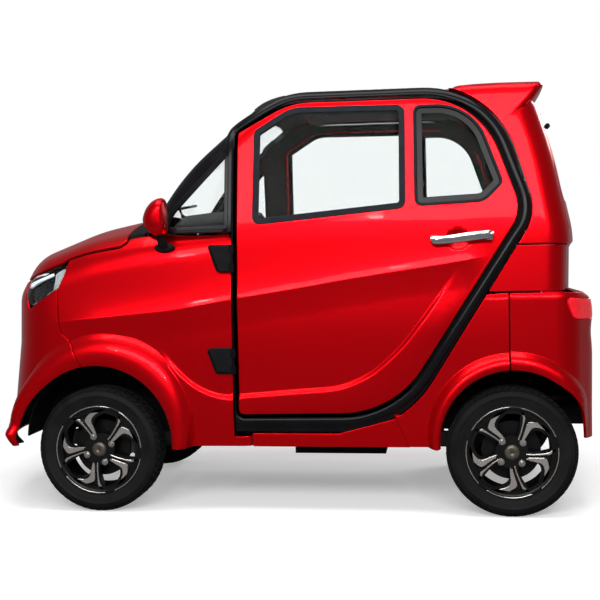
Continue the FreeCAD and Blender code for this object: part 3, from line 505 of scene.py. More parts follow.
def roll_chart(x0, z0, radius):
    """Rays from a line across the body; u is the angle from +X towards up times the radius."""
    def rays(uv):
        angle = uv[:, 0] / radius
        zero = np.zeros(len(uv))
        return (np.stack([zero + x0, uv[:, 1], zero + z0], 1),
                np.stack([np.cos(angle), zero, np.sin(angle)], 1))

    def flat(p):
        return np.stack([np.arctan2(p[:, 2] - z0, p[:, 0] - x0) * radius, p[:, 1]], 1)
    return rays, flat


def dome_chart(centre, radius):
    """Rays from one point; u is the longitude about the upright axis from -Y, v the latitude."""
    centre = np.array(centre)

    def rays(uv):
        lon, lat = uv[:, 0] / radius, uv[:, 1] / radius
        way = np.stack([np.sin(lon) * np.cos(lat), -np.cos(lon) * np.cos(lat), np.sin(lat)], 1)
        return np.tile(centre, (len(uv), 1)), way

    def flat(p):
        rel = p - centre
        lon = np.arctan2(rel[:, 0], -rel[:, 1])
        lat = np.arctan2(rel[:, 2], np.hypot(rel[:, 0], rel[:, 1]))
        return np.stack([lon, lat], 1) * radius
    return rays, flat


def on_skin(measure, chart, uv):
    """Where the chart's rays leave the hull."""
    start, way = chart[0](np.asarray(uv, float))
    low, high = np.zeros(len(start)), np.full(len(start), RAY_REACH)
    for _ in range(HALVINGS):
        middle = (low + high) / 2
        outside = measure(start + way * middle[:, None]) > 0
        high = np.where(outside, middle, high)
        low = np.where(outside, low, middle)
    return start + way * ((low + high) / 2)[:, None]


def outward(measure, p):
    """Unit normal of the hull at points on it."""
    steps = np.eye(3) * NORMAL_STEP
    slope = np.stack([measure(p + step) - measure(p - step) for step in steps], 1)
    return slope / np.linalg.norm(slope, axis=1)[:, None]


print("chart test", on_skin(CABIN_HULL, side_chart(), [(0.3, 0.7)]).round(4).tolist())

# %% [markdown]
# ## Panels
# A pressed panel is a sheet with rolled edges. Its outline is walked at even steps, its inside is
# filled with a regular net of points, and extra rows of points follow each crease so that the
# crease stays crisp. A constrained Delaunay triangulation joins them. The edge turns inwards over
# a small radius, the inner face follows one wall below, and normals come from the exact surface.

# %% Panel maker
EDGE_ARC = (0.3, 1.0)  # shares of the quarter turn at the rolled edge that get a row of points
SHARP_TURN = 0.5
NET_ROW = 0.866
ROW_ROOM = 0.0012


def walk(points, step, closed=True):
    """Points at even steps along a line, keeping its sharp corners."""
    points = np.asarray(points, float)
    ring = np.vstack([points, points[:1]]) if closed else points
    length = np.r_[0, np.linalg.norm(np.diff(ring, axis=0), axis=1).cumsum()]
    keep = [0]
    for i in range(1, len(ring) - 1):
        a, b = ring[i] - ring[i - 1], ring[i + 1] - ring[i]
        turn = abs(math.atan2(a[0] * b[1] - a[1] * b[0], float(a @ b)))
        if turn > SHARP_TURN:
            keep.append(i)
    keep.append(len(ring) - 1)
    out = []
    for i, j in zip(keep, keep[1:]):
        count = max(1, round((length[j] - length[i]) / step))
        at = length[i] + (length[j] - length[i]) * np.arange(count) / count
        out += [[np.interp(d, length, ring[:, 0]), np.interp(d, length, ring[:, 1])] for d in at]
    if not closed:
        out.append(ring[-1].tolist())
    return np.array(out)


def nearest(points, line, closed):
    """Distance to a line and the side of it that each point is on."""
    a = line if closed else line[:-1]
    step = (np.roll(line, -1, axis=0) if closed else line[1:]) - a
    best, side = np.full(len(points), 1e9), np.zeros(len(points))
    along_at = np.zeros(len(points))
    reach = np.r_[0, np.linalg.norm(step, axis=1).cumsum()]
    for i in range(len(a)):
        rel = points - a[i]
        along = np.clip(rel @ step[i] / max(step[i] @ step[i], 1e-14), 0, 1)
        gap = np.linalg.norm(rel - along[:, None] * step[i], axis=1)
        closer = gap < best
        best = np.where(closer, gap, best)
        side = np.where(closer, np.sign(step[i, 0] * rel[:, 1] - step[i, 1] * rel[:, 0]), side)
        along_at = np.where(closer, reach[i] + along * np.linalg.norm(step[i]), along_at)
    return best, side, along_at / reach[-1]


def inside(points, loop):
    """Even-odd test of points against a closed loop."""
    found = np.zeros(len(points), bool)
    for a, b in zip(loop, np.roll(loop, -1, axis=0)):
        crosses = (a[1] > points[:, 1]) != (b[1] > points[:, 1])
        with np.errstate(divide="ignore", invalid="ignore"):
            x = (b[0] - a[0]) * (points[:, 1] - a[1]) / (b[1] - a[1]) + a[0]
        found ^= crosses & (points[:, 0] < x)
    return found


def shrink(loop, amount):
    """Loop moved inwards by an amount, for loops whose inside is to their left."""
    ahead = np.roll(loop, -1, axis=0) - loop
    behind = loop - np.roll(loop, 1, axis=0)
    ahead = ahead / np.linalg.norm(ahead, axis=1)[:, None]
    behind = behind / np.linalg.norm(behind, axis=1)[:, None]
    normal = np.stack([-(ahead[:, 1] + behind[:, 1]), ahead[:, 0] + behind[:, 0]], 1)
    size = np.linalg.norm(normal, axis=1)[:, None]
    return loop + normal / size * amount / np.clip(size / 2, 0.5, 1)


def turned_left(loop, left=True):
    area = (loop[:, 0] * np.roll(loop[:, 1], -1) - np.roll(loop[:, 0], -1) * loop[:, 1]).sum()
    return loop if (area > 0) == left else loop[::-1]


def between_loops(points, loops):
    """Which points are in the first loop and in none of the others."""
    good = inside(points, loops[0])
    for hole in loops[1:]:
        good &= ~inside(points, hole)
    return good


def net(loops, creases, cell):
    """Points and triangles between an outer loop and its holes."""
    points = [np.vstack(loops)]
    edges = []
    base = 0
    for loop in loops:
        edges += [(base + i, base + (i + 1) % len(loop)) for i in range(len(loop))]
        base += len(loop)

    def fits(candidates, room):
        good = between_loops(candidates, loops)
        for loop in loops:
            good &= nearest(candidates, loop, True)[0] > room
        return good

    taken = []
    for line, offsets in creases:
        for offset in offsets:
            ahead = np.gradient(line, axis=0)
            ahead = ahead / np.linalg.norm(ahead, axis=1)[:, None]
            row = line + np.stack([-ahead[:, 1], ahead[:, 0]], 1) * offset
            good = fits(row, cell * 0.22)
            for other in taken:
                good &= nearest(row, other, False)[0] > ROW_ROOM
            index = np.full(len(row), -1)
            index[good] = base + np.arange(good.sum())
            edges += [(int(i), int(j)) for i, j in zip(index, index[1:]) if i >= 0 and j >= 0]
            points.append(row[good])
            base += int(good.sum())
        taken.append(line)
    low, high = loops[0].min(0), loops[0].max(0)
    us = np.arange(low[0], high[0], cell)
    vs = np.arange(low[1], high[1], cell * NET_ROW)
    grid = np.array([(u + (j % 2) * cell / 2, v) for j, v in enumerate(vs) for u in us])
    grid = grid[fits(grid, cell * 0.55)]
    for line, offsets in creases:
        grid = grid[nearest(grid, line, False)[0] > max(abs(o) for o in offsets) + cell * 0.5]
    points.append(grid)
    points = np.vstack(points)
    verts, _, faces, *_ = delaunay_2d_cdt([Vector(p) for p in points], edges, [], 0, 1e-7)
    verts = np.array([v[:] for v in verts])
    faces = np.array([f for f in faces if len(f) == 3])
    return verts, faces[between_loops(verts[faces].mean(1), loops)]


def build_mesh(name, verts, faces, normals, finish_name, lined):
    """Mesh with its own normals; lined is the range of faces that show the black inner lining."""
    mesh = bpy.data.meshes.new(name)
    mesh.from_pydata(verts.tolist(), [], [list(map(int, f)) for f in faces])
    mesh.polygons.foreach_set("use_smooth", [True] * len(mesh.polygons))
    mesh.materials.append(FINISH[finish_name])
    mesh.materials.append(FINISH["black_plastic"])
    index = np.zeros(len(faces), int)
    index[list(lined)] = 1
    mesh.polygons.foreach_set("material_index", index.tolist())
    mesh.normals_split_custom_set_from_vertices(normals.tolist())
    obj = bpy.data.objects.new(name, mesh)
    bpy.context.scene.collection.objects.link(obj)
    return obj


def level(depth):
    """Relief of one depth all over."""
    return lambda p: np.full(len(p), depth)


def panel(name, measure, chart, outline, holes=(), creases=(), relief=None, wall=0.012, cell=0.014,
          edge=0.003, finish_name="red_paint", twin=None):
    """One panel and, when twin names it, its mirror image on the right side. measure is the
    hull, creases are (line, offsets) in the chart, and relief lifts the skin along its normal."""
    loops = [walk(turned_left(outline), cell * 0.6)]
    loops += [walk(turned_left(hole, False), cell * 0.6) for hole in holes]
    inner = [shrink(loop, edge) for loop in loops]
    fill, faces = net(inner, creases, cell)

    def place(uv):
        p = on_skin(measure, chart, uv)
        n = outward(measure, p)
        return p + n * relief(p)[:, None] if relief else p

    def place_with_normal(uv):
        h = 0.0012
        p = place(uv)
        n = np.cross(place(uv + [h, 0]) - p, place(uv + [0, h]) - p)
        n = n / np.linalg.norm(n, axis=1)[:, None]
        out = outward(measure, p)
        return p, n * np.sign((n * out).sum(1))[:, None]

    top, up = place_with_normal(fill)
    flip = np.cross(top[faces[:, 1]] - top[faces[:, 0]], top[faces[:, 2]] - top[faces[:, 0]])
    if ((flip * up[faces[:, 0]]).sum(1) > 0).mean() < 0.5:
        faces = faces[:, ::-1]
    count = len(top)
    verts, normals = [top, top - up * wall], [up, -up]
    base = 2 * count
    quads = []
    at = 0
    for loop in loops:
        size = len(loop)
        rim, rim_up = place_with_normal(loop)
        near = top[at:at + size]
        away = rim - near
        away = away / np.maximum(np.linalg.norm(away, axis=1), 1e-9)[:, None]
        rows = [at + np.arange(size)]
        for share in EDGE_ARC:
            angle = share * math.pi / 2
            ring = near + away * edge * math.sin(angle) - rim_up * edge * (1 - math.cos(angle))
            verts.append(ring)
            normals.append(away * math.sin(angle) + rim_up * math.cos(angle))
        verts.append(near + away * edge - rim_up * wall)
        normals.append(away)
        for _ in range(len(EDGE_ARC) + 1):
            rows.append(base + np.arange(size))
            base += size
        rows.append(count + at + np.arange(size))
        for a, b in zip(rows, rows[1:]):
            quads.append(np.stack([a, b, np.roll(b, -1), np.roll(a, -1)], 1))
        at += size
    verts, normals = np.vstack(verts), np.vstack(normals)
    quads = np.vstack(quads)
    test = quads[0]
    turn = np.cross(verts[test[1]] - verts[test[0]], verts[test[2]] - verts[test[0]])
    if turn @ (normals[test[0]] + normals[test[1]]) < 0:
        quads = quads[:, ::-1]
    face_list = faces.tolist() + (faces[:, ::-1] + count).tolist() + quads.tolist()
    lining = range(len(faces), 2 * len(faces))
    made = [build_mesh(name, verts, face_list, normals, finish_name, lining)]
    if twin:
        flip_y = np.array([1, -1, 1])
        made.append(build_mesh(twin, verts * flip_y, [f[::-1] for f in face_list],
                               normals * flip_y, finish_name, lining))
    print(name, len(verts), "points", len(face_list), "faces")
    return made


def put_on(pieces, bodies, nodes):
    """Each piece rides on its body and stands for its node, which it hides."""
    for piece, body, node in zip(pieces, bodies, nodes):
        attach(piece, body)
        if node:
            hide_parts(*([node] if isinstance(node, str) else node))

# %% [markdown]
# ## Creases and flares
# The character lines of the side are drawn as short lines in the side view. Each one lifts or
# lowers the skin by its own profile: a groove, a crisp ridge that melts away upwards, or a step
# whose lower side stands proud. The wheel flares are two circles with a swelling between them.

# %% Creases and flares
BELT = np.array([(-.168, 1.087), (.092, 1.119), (.327, 1.149), (.558, 1.174), (.916, 1.185)])
MID = np.array([(-.980, .743), (-.834, .762), (-.627, .780), (-.424, .798), (-.183, .839),
                (-.163, .842), (.091, .881), (.286, .914), (.479, .942), (.632, .963),
                (.820, .994)])
LOWER = np.array([(-.459, .668), (-.408, .593), (-.349, .529), (-.290, .490), (-.210, .466),
                  (-.166, .470), (.087, .490), (.243, .501), (.360, .551), (.476, .655),
                  (.592, .807), (.669, .920), (.707, .969)])
HEM = np.array([(-.150, .412), (.005, .410), (.238, .418), (.330, .431), (.398, .452),
                (.470, .506), (.546, .598), (.640, .725), (.716, .850), (.795, .966),
                (.850, 1.045)])
FLARES = {  # opening centre and radius, crest centre and radius, lip's distance from the middle
    "front": ((-.721, .283), .300, (-.697, .343), .367, .577),
    "rear": ((.900, .288), .272, (.896, .306), .322, .577)}
CUP = ((.700, 1.058), .042, .018)  # the hollow behind the handle: centre, radius, depth


def ramp(x, low, high):
    t = np.clip((x - low) / (high - low), 0, 1)
    return t * t * (3 - 2 * t)


def curve(line, step=0.02):
    """A smooth line through a few points, as evenly spaced points."""
    line = np.asarray(line, float)
    length = np.r_[0, np.linalg.norm(np.diff(line, axis=0), axis=1).cumsum()]
    at = np.linspace(0, length[-1], 400)
    fine = np.stack([np.interp(at, length, line[:, k]) for k in range(line.shape[1])], 1)
    span = 24
    window = np.hanning(2 * span + 1) / span
    padded = np.vstack([2 * fine[0] - fine[span:0:-1], fine, 2 * fine[-1] - fine[-2:-span - 2:-1]])
    smooth = np.stack([np.convolve(column, window, "valid") for column in padded.T], 1)
    return walk(smooth, step, closed=False)


BELT, MID, LOWER, HEM = (curve(line) for line in (BELT, MID, LOWER, HEM))


def flare_lift(p, flare):
    """How far the flare lifts the skin outwards, and its share of the way over the crest."""
    (x1, z1), r1, (x2, z2), r2, lip = FLARES[flare]
    a = np.hypot(p[:, 0] - x1, p[:, 2] - z1) - r1
    b = r2 - np.hypot(p[:, 0] - x2, p[:, 2] - z2)
    v = np.clip(a, 0, None) / np.maximum(np.clip(a, 0, None) + np.clip(b, 0, None), 1e-6)
    u = np.clip((v - 0.30) / 0.70, 0, 1)
    share = np.where(b > 0, 1 - u ** 2.4, 0.0)
    roll = 1 - 0.25 * (1 - np.clip(v / 0.30, 0, 1)) ** 2
    return np.maximum(lip - np.abs(p[:, 1]), 0) * share * roll


def side_relief(p):
    """All the creases of one side, from its place in the side view."""
    q = p[:, [0, 2]]
    gap, _, along = nearest(q, BELT, False)
    lift = -0.003 * np.clip(1 - (gap / 0.005) ** 2, 0, 1) * ((along > 0) & (along < 1))
    gap, above, along = nearest(q, MID, False)
    fade = ramp(along, 0, 0.15) * ramp(1 - along, 0, 0.06)
    lift += 0.009 * fade * np.where(above > 0, np.exp(-gap / 0.045), np.clip(1 - gap / 0.110, 0, 1) ** 1.4)
    gap, above, along = nearest(q, LOWER, False)
    fade = ramp(along, 0, 0.12) * ramp(1 - along, 0, 0.20)
    below = -gap * above
    lift += 0.015 * fade * ramp(below, 0, 0.022) * (1 - ramp(below, 0.05, 0.22))
    gap, above, along = nearest(q, HEM, False)
    lift -= 0.004 * ramp(-gap * above, 0, 0.012) * ramp(along, 0, 0.05) * ramp(1 - along, 0, 0.1)
    for flare in FLARES:
        lift = np.maximum(lift, flare_lift(p, flare))
    return lift


def door_relief(p):
    (x, z), radius, depth = CUP
    lift = side_relief(p)
    gap = np.hypot((p[:, 0] - x) / 1.25, p[:, 2] - z) / radius
    return lift - depth * (1 - ramp(gap, 0.35, 1.0))


# %% [markdown]
# ## Panels of the left side, and their twins
# Each outline is drawn in the side or plan view and carried over to its chart by way of the skin.

# %% Body panels
SIDE = side_chart()
TOP = plan_chart(0.80)


def arc(centre, radius, start, end, count=40):
    """Points on a circle, angles in degrees from +x towards up."""
    angle = np.radians(np.linspace(start, end, count))
    return np.stack([centre[0] + radius * np.cos(angle), centre[1] + radius * np.sin(angle)], 1)


def straight(a, b, count=12):
    return np.stack([np.linspace(a[0], b[0], count), np.linspace(a[1], b[1], count)], 1)


def crest_rows(measure, chart, flare):
    """Rows of points along a flare's crest, so that it stays smooth."""
    (x, z), radius = FLARES[flare][2:4]
    rings = [arc((x, z), radius + out, 186, -6, 90) for out in (.003, -.001, -.007, -.016)]
    return [(traced(measure, SIDE, chart, ring), (0,)) for ring in rings]


def outline_of(rows, grow=0.0):
    """A CAD outline (x, z, corner) in millimetres as points, moved outwards by grow metres."""
    return walk(shrink(turned_left(rounded(rows, 12)), -grow), 0.010)


def traced(measure, source, chart, points):
    """Points of one chart, found on the skin and read in another chart."""
    return chart[1](on_skin(measure, source, walk(np.asarray(points, float), 0.010, closed=False)))


def chained(measure, chart, ways):
    """One outline from (chart, line) pairs, each line traced into the same chart."""
    return np.vstack([traced(measure, source, chart, line) for source, line in ways])


DOOR_OPENING = [(-163, 377, 30), (-163, 1497, 15), (60, 1612, 300), (788, 1612, 320),
                (953, 1160, 150), (456, 383, 380)]
MAIN_WINDOW = [(-88, 1128, 25), (-83, 1492, 20), (60, 1580, 150), (499, 1576, 30), (499, 1182, 25)]
QUARTER_WINDOW = [(541, 1188, 25), (538, 1573, 25), (760, 1573, 200), (870, 1270, 25), (800, 1200, 60)]
CREASE_ROWS = [(BELT, (-.0048, -.0025, 0, .0025, .0048)), (MID, (-.008, -.004, 0, .004)),
               (LOWER, (-.022, -.011, 0)), (HEM, (-.012, 0))]
door = panel("door_skin_left", CABIN_HULL, SIDE, outline_of(DOOR_OPENING, -0.009),
             holes=[outline_of(MAIN_WINDOW), outline_of(QUARTER_WINDOW)], creases=CREASE_ROWS,
             relief=door_relief, wall=0.028, edge=0.006, twin="door_skin_right")
put_on(door, ("door_left_body", "door_right_body"), ("door_left", "door_right"))

FENDER_DOME = dome_chart((-0.60, -0.12, 0.60), 0.45)
ARCH_FRONT = arc((-.721, .283), .300, 100.2, -3.5)
SEAM_FRONT = np.array([(-.774, .579), (-.801, .625), (-.818, .666), (-.866, .711),
                       (-.877, .768), (-.879, .849), (-.879, .888), (-.850, .950)])
fender_side = np.vstack([[(-.172, 1.098), (-.172, .300), (-.106, .300), (-.106, .256), (-.422, .256)],
                         ARCH_FRONT[::-1][1:], SEAM_FRONT])
fender_top = np.array([(-.838, -.496), (-.625, -.500), (-.600, -.490), (-.594, -.471), (-.45, -.471)])
fender = chained(NOSE_HULL, FENDER_DOME, [(SIDE, fender_side), (TOP, fender_top)])
fender_creases = [(traced(NOSE_HULL, SIDE, FENDER_DOME, line), offsets)
                  for line, offsets in CREASE_ROWS[1:3]]
fender = panel("fender_skin_left", NOSE_HULL, FENDER_DOME, fender,
               creases=fender_creases + crest_rows(NOSE_HULL, FENDER_DOME, "front"), relief=side_relief,
               twin="fender_skin_right", wall=0.006)
put_on(fender, ("body", "body"), ("fender_left", "fender_right"))

SHELF = [(-424, -200, 10), (-424, -466, 10), (-176, -474, 10), (-176, -200, 30)]
shelf = panel("dash_shelf_left", NOSE_HULL, TOP, outline_of(SHELF), wall=0.018, cell=0.02,
              finish_name="black_plastic", twin="dash_shelf_right")
put_on(shelf, ("body", "body"), (None, None))

NOSE_RING = ring_chart(-0.80, 0.0, -1, 0.45)
NOSE_ARCH = arc((-.721, .283), .300, 184.0, 100.2)
BONNET_FRONT = curve([(-1.016, -.449), (-1.044, -.405), (-1.074, -.335), (-1.101, -.235),
                      (-1.116, -.12), (-1.121, 0)])
lamp_edge = np.array([(-1.010, .806), (-1.034, .880), (-1.018, .924)])
nose_side = np.vstack([NOSE_ARCH, SEAM_FRONT[1:-1], lamp_edge])
left_half = chained(NOSE_HULL, NOSE_RING, [(SIDE, nose_side),
                                           (TOP, BONNET_FRONT[1:] - (.006, .001))])
right_half = left_half[-2::-1] * (-1, 1)
nose_rows = crest_rows(NOSE_HULL, NOSE_RING, "front")
nose_rows += [(row * (-1, 1), offsets) for row, offsets in nose_rows]
nose_rows += [(straight((-.68, z), (.68, z), 150), (0,)) for z in (.270, .288, .306, .324, .342)]


def nose_relief(p):
    """Creases and flares, and the lip that runs round the lower edge of the nose."""
    lip = 0.024 * np.clip(1 - ((p[:, 2] - 0.304) / 0.040) ** 2, 0, 1) ** 1.5
    return np.maximum(side_relief(p), 0) + lip * ramp(-p[:, 0], 0.99, 1.05)


bumper = panel("bumper_skin", NOSE_HULL, NOSE_RING, np.vstack([left_half, right_half]), creases=nose_rows,
               relief=nose_relief, wall=0.006)
put_on(bumper, ("body",), ("front_bumper",))

lamp_top = traced(NOSE_HULL, SIDE, TOP, [(-1.014, .931), (-.870, .988)])
left_half = np.vstack([BONNET_FRONT[:1:-1], lamp_top,
                       [(-.838, -.490), (-.628, -.494), (-.606, -.478)]])
bonnet = np.vstack([left_half, left_half[:0:-1] * (1, -1)])
bonnet = panel("bonnet_skin", NOSE_HULL, TOP, bonnet, wall=0.010, cell=0.016)
put_on(bonnet, ("bonnet_body",), ("bonnet",))

# %% [markdown]
# ## Roof, rail and rear
# The black rail frames the door from the windscreen to the sill. Behind it the rear side is three
# pieces: the upper quarter overhangs a middle strip, and the rear fender with its flare stands
# proud below. The rear bumper has its own form and wraps round the back from flare to flare.

# %% Roof, rail and rear
RAIL_OUTLINE = [(-172, 313, 0), (-172, 1095, 0), (-700, 1095, 0), (-700, 1800, 0),
                (555, 1800, 0), (555, 1657, 0), (840, 1657, 380), (995, 1150, 190),
                (472, 313, 425)]
VENT_OPENING = [(-440, 1110, 12), (-420, 1180, 80), (-190, 1425, 10), (-190, 1114, 10)]
TAILGATE = [(-450, 856, 40), (-448, 1110, 200), (-376, 1586, 60)]
TAILGATE_WINDOW = [(-392, 1204, 45), (-338, 1548, 50)]
FRONT = end_chart(-0.10, -1)
BACK = end_chart(0.75, 1)
ROOF = plan_chart(1.2)
RAIL_DOME = dome_chart((0.30, -0.10, 1.00), 0.6)
door_edge = outline_of(DOOR_OPENING)
rail_back = walk(rounded(RAIL_OUTLINE, 24), 0.008)
rail_back = rail_back[(rail_back[:, 0] > 0.44) & (rail_back[:, 1] < 1.66)]


def between(line, low, high):
    """The points of a line between two heights."""
    return line[(line[:, 1] > low) & (line[:, 1] < high)]


def rail_x(z):
    return float(np.interp(z, rail_back[::-1, 1], rail_back[::-1, 0]))


def rail_relief(p):
    """A rubber bead round the door opening."""
    gap, _, _ = nearest(p[:, [0, 2]], door_edge, True)
    return 0.011 * np.sqrt(np.clip(1 - ((gap - 0.019) / 0.018) ** 2, 0, 1)) - 0.003


rail = chained(CABIN_HULL, RAIL_DOME, [
    (FRONT, straight((-.430, 1.100), (-.384, 1.596))),
    (ROOF, straight((-.16, -.380), (.60, -.380), 30)),
    (SIDE, rail_back),
    (SIDE, straight((.472, .313), (-.172, .313))),
    (SIDE, straight((-.172, .33), (-.172, 1.098))),
    (SIDE, straight((-.19, 1.098), (-.44, 1.098)))])
rail_holes = [traced(CABIN_HULL, SIDE, RAIL_DOME, line)
              for line in (door_edge, outline_of(VENT_OPENING))]
rail_rows = [(traced(CABIN_HULL, SIDE, RAIL_DOME, walk(shrink(door_edge, -out), 0.009)), (0,))
             for out in (.004, .010, .019, .028, .034)]
rail = panel("rail_skin_left", CABIN_HULL, RAIL_DOME, rail, holes=rail_holes, relief=rail_relief,
             cell=0.010, creases=rail_rows, wall=0.024, finish_name="black_gloss",
             twin="rail_skin_right")
put_on(rail, ("body", "body"), ("side_rail_left", "side_rail_right"))

seal = panel("door_seal_left", CABIN_HULL, SIDE, outline_of(DOOR_OPENING, 0.026),
             holes=[outline_of(DOOR_OPENING, -0.026)], relief=level(-0.032), wall=0.006, cell=0.012,
             finish_name="black_plastic", twin="door_seal_right")
put_on(seal, ("body", "body"), (None, None))

roof_front = traced(CABIN_HULL, FRONT, ROOF, straight((.378, 1.604), (-.378, 1.604), 30))
roof_back = traced(CABIN_HULL, BACK, ROOF, straight((-.370, 1.592), (.370, 1.592), 30))
HEADER_X = 0.03  # the seam between the black header and the red roof
header = np.vstack([roof_front, straight((HEADER_X - .003, -.378), (HEADER_X - .003, .378), 30)])
header = panel("roof_header", CABIN_HULL, ROOF, header, wall=0.020, cell=0.024, finish_name="black_gloss")
put_on(header, ("body",), (None,))
roof_edge = straight((HEADER_X + .003, .378), (HEADER_X + .003, -.378), 30)
roof = panel("roof_skin", CABIN_HULL, ROOF, np.vstack([roof_edge, roof_back]), wall=0.020, cell=0.024,
             relief=level(-0.008))
put_on(roof, ("body",), ("roof_panel",))

UPPER_DOME = dome_chart((0.65, -0.10, 1.25), 0.6)
gate_edge = between(rounded(TAILGATE + [(0, 1586, 0), (0, 856, 0)], 12), 1.034, 1.60)
gate_edge = gate_edge[gate_edge[:, 0] < -0.372] - (0.005, 0)
upper = chained(CABIN_HULL, UPPER_DOME, [
    (SIDE, between(rail_back, 1.036, 1.64)),
    (SIDE, straight((rail_x(1.034), 1.034), (1.135, 1.034), 20)),
    (BACK, gate_edge),
    (ROOF, straight((1.03, -.382), (.66, -.382), 20))])
upper = panel("quarter_upper_left", CABIN_HULL, UPPER_DOME, upper, wall=0.020, edge=0.004,
              twin="quarter_upper_right")
put_on(upper, ("body", "body"), ("quarter_panel_left", "quarter_panel_right"))

REAR_RING = ring_chart(0.72, 0.0, 1, 0.5)
middle = chained(CABIN_HULL, REAR_RING, [
    (SIDE, between(rail_back, .858, 1.030)),
    (SIDE, straight((rail_x(.856), .856), (1.10, .856), 20)),
    (BACK, straight((-.4555, .856), (-.4540, 1.031))),
    (SIDE, straight((1.10, 1.031), (rail_x(1.031), 1.031), 20))])
middle = panel("quarter_middle_left", CABIN_HULL, REAR_RING, middle, relief=level(-0.015),
               wall=0.012, twin="quarter_middle_right")
put_on(middle, ("body", "body"), (None, None))

outer = between(rail_back, .3125, .384)
sill = np.vstack([[(-.104, .258), (.514, .258), (.456, .384)], outer[np.argsort(-outer[:, 1])],
                  [(.236, .311), (-.106, .311)]])
sill = panel("sill_skin_left", CABIN_HULL, SIDE, sill, wall=0.012, twin="sill_skin_right")
put_on(sill, ("body", "body"), ("sills", "sills"))


def low_relief(p):
    """The rear fender stands proud of the strip above it, with a rounded ledge on top."""
    return np.maximum(0.011 * ramp(0.856 - p[:, 2], 0, 0.026), flare_lift(p, "rear"))


ARCH_REAR = arc((.900, .288), .272, 185.0, 92.7)
low_side = np.vstack([between(rail_back, .385, .852), [(.454, .380), (.510, .262), (.622, .262)], ARCH_REAR,
                      straight((.887, .566), (.887, .852))])
low = panel("rear_fender_left", CABIN_HULL, SIDE, low_side, creases=crest_rows(CABIN_HULL, SIDE, "rear"),
            relief=low_relief, wall=0.010, twin="rear_fender_right")
put_on(low, ("body", "body"), (None, None))

BUMPER_PLAN = [(300, -552, 0), (1120, -552, 110), (1212, -400, 200), (1241, 0, 1200)]
BUMPER_SIDE = [(300, 200, 0), (300, 862, 0), (1150, 862, 60), (1222, 822, 45), (1241, 745, 25),
               (1218, 700, 60), (1241, 610, 40), (1232, 400, 400), (1236, 200, 20)]


def meeting(plan_rows, side_rows, blend):
    """Signed distance of the form that has one plan and one side view."""
    plan = rounded(plan_rows + [(x, -y, r) for x, y, r in plan_rows[::-1] if y])
    side = rounded(side_rows)

    def measure(p):
        return smooth_maximum(distance(p[:, [0, 1]], plan), distance(p[:, [0, 2]], side), blend)
    return measure


BUMPER_HULL = meeting(BUMPER_PLAN, BUMPER_SIDE, 0.035)
TAILLIGHT = [(1090, 836, 20), (1215, 820, 15), (1215, 742, 15), (1128, 748, 30)]
arch_back = arc((.900, .288), .272, 92.2, 1.0)
low_edge = chained(BUMPER_HULL, REAR_RING, [
    (SIDE, straight((.8895, .850), (.8895, .566))),
    (SIDE, arch_back),
    (SIDE, straight((1.180, .289), (1.190, .287), 2)),
    (BACK, straight((-.36, .284), (0, .284), 16))])
top_edge = chained(BUMPER_HULL, REAR_RING, [
    (SIDE, straight((.8895, .852), (1.10, .852))),
    (BACK, straight((-.46, .850), (0, .850), 16))])
left_half = np.vstack([top_edge[::-1], low_edge])
right_half = left_half[-2:0:-1] * (-1, 1)
lamp_hole = traced(BUMPER_HULL, SIDE, REAR_RING, outline_of(TAILLIGHT))
tail_rows = crest_rows(BUMPER_HULL, REAR_RING, "rear")
tail_rows += [(row * (-1, 1), offsets) for row, offsets in tail_rows]
tail = panel("rear_bumper_skin", BUMPER_HULL, REAR_RING, np.vstack([left_half, right_half]),
             creases=tail_rows, holes=[lamp_hole, lamp_hole * (-1, 1)], wall=0.010,
             relief=lambda p: flare_lift(p, "rear") * ramp(1.19 - p[:, 0], 0, 0.12))
put_on(tail, ("body",), ("rear_bumper",))

window_rows = both_sides(TAILGATE_WINDOW)
gate = panel("tailgate_skin", CABIN_HULL, BACK, outline_of(both_sides(TAILGATE)),
             holes=[outline_of(window_rows)], wall=0.020, edge=0.005,
             relief=lambda p: -0.015 * ramp(1.040 - p[:, 2], 0, 0.016))
put_on(gate, ("tailgate_body",), ("tailgate",))

# %% [markdown]
# ## Wheels
# The wheel is gloss black with machined, bright limbs: a thick sickle, a thin straight limb and a
# thin arc along the rim on each of five blades. One blade's bright parts are drawn in polar places
# and a geometry-nodes ring repeats them. Lug nuts and the tread blocks of the tyre use the same
# ring with other counts.

# %% Ring of copies
WHEELS = {}
for end, x, first in (("front", -0.720, -43.7), ("rear", 0.894, -61.7)):
    for hand, side in (("left", -1), ("right", 1)):
        WHEELS[f"{end}_{hand}"] = (x, side, first)
TYRE_R, PLANE_Y, FACE_OUT = 0.247, 0.485, 0.052
BLADES, NUTS, NUT_RING = 5, 4, 0.055


def new_object(name, verts, faces, finish_name, smooth=True):
    mesh = bpy.data.meshes.new(name)
    mesh.from_pydata([tuple(map(float, v)) for v in verts], [], [list(map(int, f)) for f in faces])
    mesh.polygons.foreach_set("use_smooth", [smooth] * len(mesh.polygons))
    mesh.materials.append(FINISH[finish_name])
    obj = bpy.data.objects.new(name, mesh)
    bpy.context.scene.collection.objects.link(obj)
    return obj


def applied(obj):
    """The object with its modifiers applied and gone."""
    depsgraph = bpy.context.evaluated_depsgraph_get()
    mesh = bpy.data.meshes.new_from_object(obj.evaluated_get(depsgraph))
    obj.modifiers.clear()
    obj.data = mesh
    return obj


